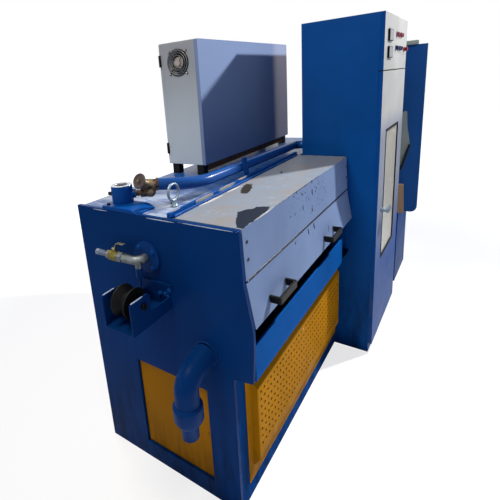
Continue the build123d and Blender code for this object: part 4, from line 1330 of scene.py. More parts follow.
@dataclass(frozen=True)
class WeldBead:
    """Weld bead along a line of points, painted over, by Geometry Nodes."""

    name: str
    route_mm: Sequence[Point]
    finish: Finish
    bead_mm: float = 3.0
    step_mm: float = 3.2
    seed: int = 11

    def build(self) -> bpy.types.Object:
        """Grow the bead's overlapping drops along the route and mount it.

        Returns:
            The piece's object.
        """
        tree, given = recipe("weld_bead", {"Bead Radius": Kind.NUMBER, "Drop Spacing": Kind.NUMBER,
                                           "Seed": Kind.COUNT})
        line = add(tree, "GeometryNodeMeshToCurve", {"Mesh": given["Geometry"]})
        even = add(tree, "GeometryNodeResampleCurve",
                   {"Curve": line.outputs[0], "Length": given["Drop Spacing"]}, mode="LENGTH")
        drop = add(tree, "GeometryNodeMeshIcoSphere",
                   {"Radius": given["Bead Radius"], "Subdivisions": 2})
        size = add(tree, "FunctionNodeRandomValue", {2: 0.85, 3: 1.15, "Seed": given["Seed"]},
                   data_type="FLOAT")
        spread = add(tree, "GeometryNodeInstanceOnPoints",
                     {"Points": even.outputs[0], "Instance": drop.outputs[0],
                      "Scale": size.outputs[1]})
        serve(tree, spread.outputs[0], self.finish)
        start = bpy.data.meshes.new("route")
        pairs = [(k, k + 1) for k in range(len(self.route_mm) - 1)]
        start.from_pydata([Vector(p) * MM for p in self.route_mm], pairs, [])
        mesh = grow(tree, start, {"Bead Radius": self.bead_mm * MM,
                                  "Drop Spacing": self.step_mm * MM,
                                  "Seed": self.seed})
        return mount(self.name, mesh, self.finish)


@dataclass(frozen=True)
class PhotoCamera:
    """Camera at the photograph's place and angle, with its small shift."""

    place_mm: Point = (-968.7, -960.4, 1622.7)
    heading_deg: float = 36.56
    dip_deg: float = 15.16
    roll_deg: float = -4.757
    lens_mm: float = 28.33
    shift: tuple[float, float] = (0.1112, -0.1185)

    def build(self) -> None:
        """Make the camera and hand it to the scene."""
        heading, dip, roll = (math.radians(a)
                              for a in (self.heading_deg, self.dip_deg, self.roll_deg))
        ahead = Vector((math.cos(dip) * math.cos(heading), math.cos(dip) * math.sin(heading),
                        -math.sin(dip)))
        level = Vector((math.sin(heading), -math.cos(heading), 0.0))
        above = level.cross(ahead)
        right = level * math.cos(roll) + above * math.sin(roll)
        up = right.cross(ahead)
        data = bpy.data.cameras.new("photo_camera")
        data.lens = self.lens_mm
        data.shift_x, data.shift_y = self.shift
        camera = bpy.data.objects.new("photo_camera", data)
        turn = Matrix((right, up, -ahead)).transposed().to_4x4()
        camera.matrix_world = Matrix.Translation(Vector(self.place_mm) * MM) @ turn
        bpy.context.scene.collection.objects.link(camera)
        bpy.context.scene.camera = camera


@dataclass(frozen=True)
class StudioLamp:
    """One area lamp of the studio, as strong at the far end of the object as near it."""

    name: str
    place_mm: Point
    aim_mm: Point
    size_mm: float
    strength: float
    colour: str = "#ffffff"

    def build(self) -> None:
        """Make the lamp, turned towards its aim."""
        data = bpy.data.lights.new(self.name, "AREA")
        data.size = self.size_mm * MM
        data.energy = 1.0
        data.color = linear(self.colour)[:3]
        data.use_nodes = True
        tree = data.node_tree
        tree.nodes.clear()
        fall = add(tree, "ShaderNodeLightFalloff", {"Strength": self.strength, "Smooth": 0.0})
        glow = add(tree, "ShaderNodeEmission", {"Strength": fall.outputs["Constant"]})
        add(tree, "ShaderNodeOutputLight", {0: glow.outputs[0]})
        lamp = bpy.data.objects.new(self.name, data)
        place = Vector(self.place_mm) * MM
        aim = Vector(self.aim_mm) * MM
        turn = (aim - place).to_track_quat("-Z", "Y").to_matrix().to_4x4()
        lamp.matrix_world = Matrix.Translation(place) @ turn
        lamp.visible_camera = False
        bpy.context.scene.collection.objects.link(lamp)


@dataclass(frozen=True)
class Studio:
    """Pale floor, world light and lamps."""

    floor_mm: float = 30000.0
    fill: float = 0.24
    fill_colour: str = "#93bfff"
    floor_glow: float = 0.74
    floor_colour: str = "#8f8f8f"
    bounce_colour: str = "#dcdcdc"
    white: str = "#ffffff"
    floor_middle: Point = (1200.0, 0.0, 0.0)
    floor_fade: tuple[float, float] = (1900.0, 3600.0)
    lamps: tuple[StudioLamp, ...] = (
        StudioLamp("key_lamp", (1886.0, -1040.0, 2281.0), (900.0, -300.0, 900.0), 50.0, 14.0),
        StudioLamp("inlet_lamp", (-500.0, 0.0, 2700.0), (200.0, -50.0, 1180.0), 600.0, 6.0,
                   colour="#fff1dc"),
        StudioLamp("window_lamp", (-1950.0, 1190.0, 1250.0), (0.0, -100.0, 700.0), 400.0, 0.6),
        StudioLamp("rear_lamp", (1200.0, 3000.0, 2600.0), (1100.0, 300.0, 900.0), 1500.0, 3.2),
        StudioLamp("gap_lamp", (2100.0, -318.0, 1900.0), (1600.0, 151.0, 1500.0), 30.0, 8.0,
                   colour="#ffdcb0"),
    )

    def build(self) -> None:
        """Make the floor, the world and the lamps, and set the plain view transform."""
        bpy.context.scene.view_settings.view_transform = "Standard"
        self.world()
        self.floor()
        for lamp in self.lamps:
            lamp.build()

    def world(self) -> None:
        """Fill light for the object, and white for what the eye or a gloss sees."""
        world = bpy.data.worlds.new("studio_world")
        world.use_nodes = True
        tree = world.node_tree
        tree.nodes.clear()
        path = add(tree, "ShaderNodeLightPath").outputs
        clear = merge(tree, Join.ANY, path["Is Camera Ray"], path["Is Glossy Ray"],
                      path["Is Transmission Ray"])
        fill = add(tree, "ShaderNodeBackground",
                   {"Color": linear(self.fill_colour), "Strength": self.fill})
        clean = add(tree, "ShaderNodeBackground", {"Color": linear(self.white), "Strength": 1.0})
        both = add(tree, "ShaderNodeMixShader", {0: clear, 1: fill.outputs[0], 2: clean.outputs[0]})
        add(tree, "ShaderNodeOutputWorld", {0: both.outputs[0]})
        bpy.context.scene.world = world

    def floor(self) -> None:
        """Plain pale floor that keeps the object's shadow."""
        half = self.floor_mm * MM / 2
        mesh = bpy.data.meshes.new("floor")
        corners = [(-half, -half, 0.0), (half, -half, 0.0), (half, half, 0.0), (-half, half, 0.0)]
        mesh.from_pydata(corners, [], [(0, 1, 2, 3)])
        made = bpy.data.materials.new("floor_pale")
        made.use_nodes = True
        tree = made.node_tree
        tree.nodes.clear()
        place = add(tree, "ShaderNodeTexCoord").outputs["Object"]
        away = add(tree, "ShaderNodeVectorMath",
                   {0: place, 1: tuple(Vector(self.floor_middle) * MM)},
                   operation="DISTANCE").outputs["Value"]
        near, far = self.floor_fade
        bright = add(tree, "ShaderNodeMapRange",
                     {0: away, 1: near * MM, 2: far * MM, 3: self.floor_glow, 4: 1.0},
                     interpolation_type="SMOOTHSTEP").outputs[0]
        matt = add(tree, "ShaderNodeBsdfDiffuse", {"Color": linear(self.floor_colour)}).outputs[0]
        glow = add(tree, "ShaderNodeEmission", {"Color": linear(self.white), "Strength": bright})
        seen = add(tree, "ShaderNodeLightPath").outputs["Is Camera Ray"]
        both = add(tree, "ShaderNodeAddShader", {0: matt, 1: glow.outputs[0]}).outputs[0]
        bounce = add(tree, "ShaderNodeBsdfDiffuse",
                     {"Color": linear(self.bounce_colour)}).outputs[0]
        shown = add(tree, "ShaderNodeMixShader", {0: seen, 1: bounce, 2: both}).outputs[0]
        add(tree, "ShaderNodeOutputMaterial", {0: shown})
        mesh.materials.append(made)
        floor = bpy.data.objects.new("floor", mesh)
        bpy.context.scene.collection.objects.link(floor)


@dataclass
class InletEnd:
    """Inlet end: plate with its yellow cover, pulley bracket, water fittings and drain."""

    edge_mm: float = 2.5
    flange_bolt_ring: float = 47.0
    flange_bolt_turn: float = 52.0
    flange_at: Point = (-10.0, -2.0, 1022.0)
    bracket_bolts: Outline = ((-53.5, 887.0), (-78.0, 890.4), (-98.0, 909.0), (-90.0, 884.0))
    weld_up: float = 50.0
    lever_pivot: tuple[float, float] = (-52.0, 117.0)
    lever_w: float = 13.0
    lever_t: float = 2.6
    lever_bends: Outline = ((9.0, 5.0), (-6.0, 6.0), (-12.0, 18.0), (-15.0, 26.0), (-21.0, 30.5),
                            (-56.0, 31.5))
    lever_nut: Outline = ((0.0, 0.0), (0.0, 9.0), (7.0, 9.0), (9.5, 7.0), (9.5, 0.0))
    drain_r: float = 43.0
    drain_bend: float = 44.0
    drain_weld: float = 4.5
    drain_root_z: float = 690.0
    drain_corner: Point = (-130.0, -235.0, 664.0)
    sleeve_z: float = 580.0
    sleeve: Outline = ((0.0, 0.0), (0.0, 44.0), (4.0, 49.0), (9.0, 53.0), (58.0, 53.0),
                       (66.0, 50.0), (88.0, 34.0), (92.0, 31.5), (140.0, 31.0), (140.0, 26.5),
                       (80.0, 26.5), (80.0, 0.0))

    def build(self) -> None:
        """Build the plate, the bracket with its pulley, the fittings and the drain."""
        soften("end_plate", BLUE_SHADE_RIM_HIGHLIGHT, self.edge_mm, 3)
        soften("near_cover", YELLOW_SHADED, 1.2)
        self.cover_trim()
        self.bracket()
        self.fittings()
        self.lever()
        self.drain()

    def cover_trim(self) -> None:
        """Thin seal and painted screws of the yellow cover in the plate's window."""
        low, high = span("near_cover")
        face = low.x
        seal, inset = 3.0, 14.0
        blocks("near_cover_seal", [
            ((face - 1.0, low.y, low.z), (face + 0.5, low.y + seal, high.z)),
            ((face - 1.0, high.y - seal, low.z), (face + 0.5, high.y, high.z)),
            ((face - 1.0, low.y + seal, low.z), (face + 0.5, high.y - seal, low.z + seal)),
            ((face - 1.0, low.y + seal, high.z - seal), (face + 0.5, high.y - seal, high.z))],
               RUBBER, 0.4)
        rim = [(face, y, z) for y in (low.y + inset, high.y - inset)
               for z in (low.z + inset, (low.z + high.z) / 2, high.z - inset)]
        Fasteners("near_cover_screws", Head.ROUND, 4.0, 2.0, TO_INLET, rim, YELLOW_SHADED, 5.5,
                  0.8).build()

    def bracket(self) -> None:
        """Pulley bracket with its axle, grooved pulley, bolts and welds."""
        soften("pulley_bracket", BLUE_BRACKET, 2.2, 3)
        soften("pulley_axle", OILED, 1.0)
        soften("inlet_pulley", PULLEY_BLACK, 1.2)
        low, high = span("pulley_bracket")
        places = [(-8.0, y, z) for y, z in self.bracket_bolts]
        Fasteners("bracket_bolts", Head.HEX, 7.0, 6.0, TO_INLET, places, BLUE_HINGE, 9.5,
                  1.8).build()
        for side, y in (("front", low.y), ("rear", high.y)):
            WeldBead("bracket_weld_" + side, [(0.0, y, low.z), (0.0, y, low.z + self.weld_up)],
                     BLUE).build()
        WeldBead("bracket_weld_under", [(0.0, low.y, low.z), (0.0, high.y, low.z)], BLUE).build()

    def fittings(self) -> None:
        """Inlet pipe with its flange, and the ball valve with its nipple."""
        soften("inlet_pipe", InletPaint("steel_galvanised_half_painted", "steel", colour="#7b8285",
                                        stain="#4f4d45", roughness=0.45), 0.8)
        soften("ball_valve", BRASS, 0.8)
        x, y, z = self.flange_at
        ring = self.flange_bolt_ring
        turns = [math.radians(self.flange_bolt_turn + 90.0 * k) for k in range(4)]
        places = [(x, y + ring * math.cos(a), z + ring * math.sin(a)) for a in turns]
        Fasteners("flange_bolts", Head.HEX, 6.5, 5.0, TO_INLET, places, BLUE_HINGE, 9.0,
                  1.6).build()

    def lever(self) -> None:
        """Stamped lever that rises from the valve's stem and runs level above the pipe."""
        pivot = Vector((*self.lever_pivot, span("valve_lever")[0].z))
        half, thick = self.lever_w / 2, self.lever_t
        section = [(-half, 0.0), (half, 0.0), (half, thick), (-half, thick)]
        route = [(pivot.x, pivot.y + dy, pivot.z + dz) for dy, dz in self.lever_bends]
        strap = swept(section, route, TO_OUTLET)
        nut = turned(self.lever_nut, tuple(pivot), UP, Head.HEX.value)
        mount("valve_lever_dressed", finished(joined([strap, nut]), 0.8), ALLOY, "lever",
              ("valve_lever",))

    def drain(self) -> None:
        """Drain pipe: sloping arm, tight elbow, coupling sleeve and spout."""
        corner = Vector(self.drain_corner)
        root = Vector((-1.0, corner.y, self.drain_root_z))
        ahead = (corner - root).normalized()
        start = corner - ahead * self.drain_bend
        end = corner + Vector(DOWN) * self.drain_bend
        shares = [k / 6 for k in range(7)]
        bend = [start * (1 - u) ** 2 + corner * 2 * u * (1 - u) + end * u ** 2 for u in shares]
        foot = Vector((corner.x, corner.y, self.sleeve_z - 8.0))
        pipe = swept(round_section(self.drain_r, 36), [root, *bend, foot], TO_REAR)
        sleeve = turned(self.sleeve, (corner.x, corner.y, self.sleeve_z), DOWN, 36)
        bead = closed_ring(self.drain_weld, self.drain_r + 1.0, 10)
        weld = turned(bead, tuple(root), TO_INLET, 36)
        mount("drain_pipe_dressed", finished(joined([pipe, sleeve, weld]), 0.8), BLUE_SHADED,
              "machine", ("drain_pipe",))


@dataclass
class TankBase:
    """Base front with its perforated tray panel, rail, tank sheets and the cones inside."""

    hole_mm: float = 12.6
    pitch_x: float = 30.0
    pitch_z: float = 34.8
    first_x: float = 139.0
    top_z: float = 477.0
    rows: int = 8
    sheet_mm: float = 2.0
    flange_side: float = 35.0
    flange_edge: float = 58.0
    bevel_side: float = 8.0
    bevel_edge: float = 41.0
    lip_mm: float = 3.0
    fold_mm: float = 2.0
    sump_z: tuple[float, float] = (4.0, 8.0)
    sump_gap: float = 2.0
    weld_mm: float = 0.05
    edge_mm: float = 0.1

    def build(self) -> None:
        """Build the frame, the tray, the rail and what shows inside."""
        soften("base_front_frame", BLUE_FRAME, 1.5)
        soften("front_rail", BLUE_RAIL, 2.0, 3)
        soften("tank_floor", SUMP, 0.8)
        soften("tank_far_wall", BLUE, 0.8)
        soften("drawing_cones", BRIGHT, 0.8)
        self.sump()
        self.tray()

    def sump(self) -> None:
        """Oily bottom sheet inside the base, seen through the holes."""
        low, high = span("base_front_frame")
        back = span("drive_housing")[0].y
        gap = self.sump_gap
        corners = ((low.x + gap, high.y + gap, self.sump_z[0]),
                   (high.x - gap, back - gap, self.sump_z[1]))
        blocks("base_bottom_sheet", [corners], SUMP, 0.5)

    def tray(self) -> None:
        """Perforated tray: one sheet pressed into a shallow bevelled pan, by Geometry Nodes."""
        low, high = span("base_tray_panel")
        rim = (low.x + self.flange_side, high.x - self.flange_side, low.z + self.flange_edge,
               high.z - self.flange_edge)
        flat = (rim[0] + self.bevel_side, rim[1] - self.bevel_side, rim[2] + self.bevel_edge,
                rim[3] - self.bevel_edge)
        columns = int((flat[1] - self.first_x - self.pitch_x / 2) // self.pitch_x) + 1
        grid_x = (self.first_x - self.pitch_x / 2, self.first_x + (columns - 0.5) * self.pitch_x)
        grid_z = (self.top_z - (self.rows - 0.5) * self.pitch_z, self.top_z + self.pitch_z / 2)
        deep = high.y - low.y - self.lip_mm
        fold = self.fold_mm
        rings = [
            (flat, 0.0),
            ((flat[0] - fold, flat[1] + fold, flat[2] - fold, flat[3] + fold), fold / 2),
            ((rim[0] + fold, rim[1] - fold, rim[2] + fold, rim[3] - fold), deep - fold / 2),
            (rim, deep),
            ((low.x, high.x, low.z, high.z), deep),
            ((low.x, high.x, low.z, high.z), deep + self.lip_mm - self.sheet_mm),
        ]
        tree, given = recipe("perforated_tray", {
            "Hole Radius": Kind.NUMBER, "Pitch": Kind.VECTOR, "Columns": Kind.COUNT,
            "Rows": Kind.COUNT, "Grid Size": Kind.VECTOR})
        shape = self.cells(tree, given)
        last = (grid_x[0], grid_x[1], grid_z[0], grid_z[1])
        middle = Vector(((last[0] + last[1]) / 2, (last[2] + last[3]) / 2))
        half = add(tree, "ShaderNodeVectorMath", {0: given["Grid Size"], 1: (0.5, 0.5, 0.5)},
                   operation="MULTIPLY")
        where = add(tree, "ShaderNodeSeparateXYZ",
                    {0: add(tree, "GeometryNodeInputPosition").outputs[0]}).outputs
        reach = add(tree, "ShaderNodeSeparateXYZ", {0: half.outputs[0]}).outputs
        sides = []
        for k in (0, 1):
            away = add(tree, "ShaderNodeMath", {0: where[k]}, operation="ABSOLUTE").outputs[0]
            limit = add(tree, "ShaderNodeMath", {0: reach[k], 1: self.edge_mm * MM},
                        operation="SUBTRACT")
            sides.append(add(tree, "ShaderNodeMath", {0: away, 1: limit.outputs[0]},
                             operation="GREATER_THAN").outputs[0])
        edge = merge(tree, Join.ANY, *sides)
        for ring, depth in rings:
            wide = Vector(((ring[1] - ring[0]) / (last[1] - last[0]),
                           (ring[3] - ring[2]) / (last[3] - last[2])))
            was = Vector(((last[0] + last[1]) / 2, (last[2] + last[3]) / 2)) - middle
            now = Vector(((ring[0] + ring[1]) / 2, (ring[2] + ring[3]) / 2)) - middle
            pushed = add(tree, "GeometryNodeExtrudeMesh",
                         {"Mesh": shape, "Selection": edge, "Offset Scale": 0.0}, mode="EDGES")
            spot = add(tree, "GeometryNodeInputPosition").outputs[0]
            scaled = add(tree, "ShaderNodeVectorMath", {
                0: spot, 1: (wide.x, wide.y, 0.0),
                2: ((now.x - was.x * wide.x) * MM, (now.y - was.y * wide.y) * MM, -depth * MM)},
                         operation="MULTIPLY_ADD")
            moved = add(tree, "GeometryNodeSetPosition", {"Geometry": pushed.outputs["Mesh"],
                                                          "Selection": pushed.outputs["Top"],
                                                          "Position": scaled.outputs[0]})
            shape, edge, last = moved.outputs[0], pushed.outputs["Top"], ring
        serve(tree, shape, YELLOW)

        def thicken(carrier: bpy.types.Object) -> None:
            """Give the pressed sheet its thickness, inwards.

            Args:
                carrier: Object that carries the sheet.
            """
            solid = carrier.modifiers.new("thickness", "SOLIDIFY")
            solid.thickness = self.sheet_mm * MM
            solid.offset = -1.0

        mesh = grow(tree, dots([(0.0, 0.0, 0.0)]), {
            "Hole Radius": self.hole_mm / 2 * MM,
            "Pitch": (self.pitch_x * MM, self.pitch_z * MM, 0.0),
            "Columns": columns, "Rows": self.rows,
            "Grid Size": (columns * self.pitch_x * MM, self.rows * self.pitch_z * MM, 0.0)},
                    thicken)
        work = bmesh.new()
        work.from_mesh(mesh)
        stand = Matrix.Rotation(math.pi / 2, 4, "X")
        work.transform(Matrix.Translation(Vector((middle.x, low.y, middle.y)) * MM) @ stand)
        bmesh.ops.recalc_face_normals(work, faces=work.faces)
        work.to_mesh(mesh)
        work.free()
        mount("perforated_tray", mesh, YELLOW, "machine", ("base_tray_panel",))

    def cells(self, tree: Tree, given: bpy.types.NodeOutputs) -> Socket:
        """Build one sheet cell round each hole, and repeat it over the grid.

        Args:
            tree: The tray's tree.
            given: The tree's input sockets.

        Returns:
            The socket of the perforated field's mesh.
        """
        circle = add(tree, "GeometryNodeMeshCircle",
                     {"Vertices": 16, "Radius": given["Hole Radius"]}, fill_type="NONE")
        pushed = add(tree, "GeometryNodeExtrudeMesh",
                     {"Mesh": circle.outputs[0], "Offset Scale": 0.0}, mode="EDGES")
        spot = add(tree, "GeometryNodeInputPosition").outputs[0]
        size = add(tree, "ShaderNodeVectorMath", {0: spot}, operation="ABSOLUTE").outputs[0]
        axes = add(tree, "ShaderNodeSeparateXYZ", {0: size}).outputs
        far = add(tree, "ShaderNodeMath", {0: axes[0], 1: axes[1]}, operation="MAXIMUM").outputs[0]
        scale = add(tree, "ShaderNodeMath", {0: 0.5, 1: far}, operation="DIVIDE").outputs[0]
        unit = add(tree, "ShaderNodeVectorMath", {0: spot, "Scale": scale}, operation="SCALE")
        square = add(tree, "ShaderNodeVectorMath", {0: unit.outputs[0], 1: given["Pitch"]},
                     operation="MULTIPLY")
        cell = add(tree, "GeometryNodeSetPosition", {"Geometry": pushed.outputs["Mesh"],
                                                     "Selection": pushed.outputs["Top"],
                                                     "Position": square.outputs[0]})
        size = add(tree, "ShaderNodeSeparateXYZ", {0: given["Grid Size"]}).outputs
        step = add(tree, "ShaderNodeSeparateXYZ", {0: given["Pitch"]}).outputs
        between = [add(tree, "ShaderNodeMath", {0: size[k], 1: step[k]},
                       operation="SUBTRACT").outputs[0]
                   for k in (0, 1)]
        field = add(tree, "GeometryNodeMeshGrid", {"Size X": between[0], "Size Y": between[1],
                                                   "Vertices X": given["Columns"],
                                                   "Vertices Y": given["Rows"]})
        spread = add(tree, "GeometryNodeInstanceOnPoints",
                     {"Points": field.outputs[0], "Instance": cell.outputs[0]})
        real = add(tree, "GeometryNodeRealizeInstances", {0: spread.outputs[0]})
        welded = add(tree, "GeometryNodeMergeByDistance", {"Geometry": real.outputs[0],
                                                           "Distance": self.weld_mm * MM})
        return welded.outputs[0]


@dataclass
class Hood:
    """Hinged hood with its folding flap, handles and the two continuous hinges."""

    screw_x: tuple[float, float] = (48.0, 1178.0)
    screw_z: Outline = ((-394.4, 1129.0), (-396.8, 1069.0))
    seam: tuple[float, float] = (-398.0, 999.0)
    knuckle_r: float = 4.6
    knuckle_mm: float = 28.5
    pitch_mm: float = 30.0

    def build(self) -> None:
        """Build the hood, the flap, the handles, the hinges and the screws."""
        soften("lid_hinge_strip", BLUE_HINGE, 1.2)
        soften("lid_top", HOOD_GREY, 1.0)
        soften("lid_flap", HOOD_GREY, 1.0)
        soften("flap_handles", BLACK, 2.0, 3)
        self.seam_hinge()
        places = [(x, y, z) for x in self.screw_x for y, z in self.screw_z]
        Fasteners("hood_screws", Head.ROUND, 5.5, 2.2, (0.0, -1.0, 0.04), places, OILED, 5.5,
                  0.4).build("hood")

    def seam_hinge(self) -> None:
        """Oily knuckles of the continuous hinge in the seam between hood and flap."""
        low, high = span("lid_flap")
        tree, given = recipe("continuous_hinge", {
            "Knuckle Radius": Kind.NUMBER, "Knuckle Length": Kind.NUMBER, "Pitch": Kind.NUMBER,
            "Count": Kind.COUNT})
        barrel = add(tree, "GeometryNodeMeshCylinder",
                     {"Vertices": 12, "Radius": given["Knuckle Radius"],
                      "Depth": given["Knuckle Length"]})
        laid = add(tree, "GeometryNodeTransform", {"Geometry": barrel.outputs[0],
                                                   "Rotation": (0.0, math.pi / 2, 0.0)})
        step = add(tree, "ShaderNodeCombineXYZ", {"X": given["Pitch"]})
        line = add(tree, "GeometryNodeMeshLine",
                   {"Count": given["Count"], "Offset": step.outputs[0]})
        spread = add(tree, "GeometryNodeInstanceOnPoints",
                     {"Points": line.outputs[0], "Instance": laid.outputs[0]})
        count = int((high.x - low.x) // self.pitch_mm)
        spare = (high.x - low.x - count * self.pitch_mm) / 2
        first = (low.x + spare + self.pitch_mm / 2, *self.seam)
        put = add(tree, "GeometryNodeTransform", {"Geometry": spread.outputs[0],
                                                  "Translation": tuple(Vector(first) * MM)})
        serve(tree, put.outputs[0], OILED)
        mesh = grow(tree, dots([first]), {"Knuckle Radius": self.knuckle_r * MM, "Count": count,
                                          "Knuckle Length": self.knuckle_mm * MM,
                                          "Pitch": self.pitch_mm * MM})
        mount("seam_hinge_knuckles", mesh, OILED, "hood")


@dataclass
class GearHousing:
    """Gear housing with the stub, feed valve, long pipe, bracket and lifting eye on it."""

    stub_at: Point = (71.0, 165.0, 1263.4)
    eye_at: Point = (150.0, -30.0, 1231.0)
    eye_r: float = 31.5
    eye_wire: float = 5.4
    eye_collar: Outline = ((0.0, 0.0), (0.0, 16.0), (4.0, 16.0), (6.0, 13.0), (12.0, 9.5),
                           (25.0, 8.0), (27.0, 0.0))
    stub_sleeve: Outline = ((-8.0, 25.0), (1.8, 25.5), (1.8, 41.0), (-0.2, 41.8), (-0.2, 31.0),
                            (-8.0, 31.0), (-8.0, 25.0))
    boss_bolts: tuple[Point, ...] = ((20.0, 196.0, 1194.0), (172.0, -2.0, 1174.0))
    plug_at: Point = (47.5, 199.5, 1232.0)
    plug_axis: Point = (-0.55, 0.83, 0.0)

    def build(self) -> None:
        """Build the housing and what stands on it."""
        soften("drive_housing", BLUE_HOUSING, 2.0, 3)
        soften("stub_pipe", BLUE_GLOSS, 2.0, 3)
        soften("feed_valve", WEATHERED, 1.0)
        soften("valve_wheel", HANDWHEEL, 0.8)
        soften("main_pipe", BLUE_PIPE, 1.0)
        soften("pipe_bracket", BLUE_GLOSS, 1.2)
        self.stub_rim()
        self.eye()
        Fasteners("boss_bolts", Head.HEX, 7.0, 6.0, UP, self.boss_bolts, OILED, 9.0, 1.6).build()
        Fasteners("stub_side_plug", Head.HEX, 8.0, 12.0, self.plug_axis, [self.plug_at], OILED, 9.0,
                  2.0).build()

    def stub_rim(self) -> None:
        """Bare machined sleeve in the mouth of the stub."""
        ring = turned(self.stub_sleeve, self.stub_at, UP, 36)
        mount("stub_rim_sleeve", finished(ring, 0.5), BRIGHT)

    def eye(self) -> None:
        """Lifting eye: a thin ring on a turned collar."""
        wire = [(self.eye_wire * math.sin(a), self.eye_r + self.eye_wire * math.cos(a))
                for a in (math.tau * k / 14 for k in range(15))]
        ring = turned(wire, self.eye_at, TO_REAR, 40)
        low = span("lifting_eye")[0]
        collar = turned(self.eye_collar, (self.eye_at[0], self.eye_at[1], low.z), UP, 28)
        mount("lifting_eye_dressed", finished(joined([ring, collar])), PLATED, "machine",
              ("lifting_eye",))


@dataclass
class ControlBox:
    """Control box on its legs, with the door behind, the fan and its wire guard."""

    ring_radii: tuple[float, ...] = (22.0, 34.0, 46.0, 57.5)
    wire_mm: float = 0.9
    hub_r: float = 26.5
    badge_r: float = 15.4
    lug_ring: float = 72.0
    sill_end: float = 44.0
    sill_y: Point = (4.0, 8.0, 34.0)
    sill_web: float = 14.0
    sill_t: float = 4.0

    def build(self) -> None:
        """Build the box, its door, the legs, the fan and its guard."""
        soften("control_box", BOX_GREY, 2.0, 3)
        soften("box_rear_door", BOX_GREY, 2.0, 3)
        soften("box_legs", BLACK, 1.5)
        soften("box_hinges", OILED, 1.0)
        soften("fan_frame", OILED, 0.6)
        soften("fan_rotor", BLACK, 0.6)
        self.fan_faces()
        self.guard()
        self.sill()

    def fan_faces(self) -> None:
        """Plain pale disc on the fan's hub, plain centre of the guard, and the guard's screws."""
        frame_low, frame_high = span("fan_frame")
        middle = (frame_low + frame_high) / 2
        hub_x = span("fan_rotor")[0].x
        hub = turned([(0.0, 0.0), (0.0, self.hub_r), (0.9, self.hub_r - 0.8), (1.1, 0.0)],
                     (hub_x, middle.y, middle.z), TO_INLET, 32)
        mount("fan_hub_disc", finished(hub), HUB_LABEL, "fan")
        badge = turned([(0.0, 0.0), (0.0, self.badge_r), (0.8, self.badge_r - 0.8), (1.0, 0.0)],
                       (frame_low.x, middle.y, middle.z), TO_INLET, 28)
        mount("fan_guard_centre", finished(badge), HUB_LABEL)
        reach = self.lug_ring / math.sqrt(2.0)
        corners = [(frame_low.x, middle.y + sy * reach, middle.z + sz * reach) for sy in (-1, 1)
                   for sz in (-1, 1)]
        Fasteners("fan_guard_screws", Head.ROUND, 4.2, 2.0, TO_INLET, corners, ZINC, 5.0,
                  0.5).build()

    def guard(self) -> None:
        """Wire rings of the fan's guard, by Geometry Nodes."""
        low, high = span("fan_frame")
        middle = (low + high) / 2
        tree, given = recipe("guard_rings", {"Wire Radius": Kind.NUMBER})
        rings = add(tree, "GeometryNodeJoinGeometry")
        wire = add(tree, "GeometryNodeCurvePrimitiveCircle",
                   {"Resolution": 8, "Radius": given["Wire Radius"]})
        for radius in self.ring_radii:
            ring = add(tree, "GeometryNodeCurvePrimitiveCircle",
                       {"Resolution": 48, "Radius": radius * MM})
            loop = add(tree, "GeometryNodeCurveToMesh", {0: ring.outputs[0], 1: wire.outputs[0]})
            tree.links.new(loop.outputs[0], rings.inputs[0])
        stood = add(tree, "GeometryNodeTransform", {
            "Geometry": rings.outputs[0], "Rotation": (0.0, math.pi / 2, 0.0),
            "Translation": ((low.x - 0.2) * MM, middle.y * MM, middle.z * MM)})
        serve(tree, stood.outputs[0], ZINC)
        mesh = grow(tree, dots([(0.0, 0.0, 0.0)]), {"Wire Radius": self.wire_mm * MM})
        mount("fan_guard_rings", mesh, ZINC)

    def sill(self) -> None:
        """Rusted channel under the box's front edge, between its legs."""
        low, high = span("box_legs")
        x0, x1 = low.x + self.sill_end, high.x - self.sill_end
        front, fold, back = (low.y + y for y in self.sill_y)
        blocks("box_sill_channel", [((x0, front, low.z + self.sill_web), (x1, fold, high.z)),
                                    ((x0, fold, high.z - self.sill_t), (x1, back, high.z))], RUSTED,
               0.8)


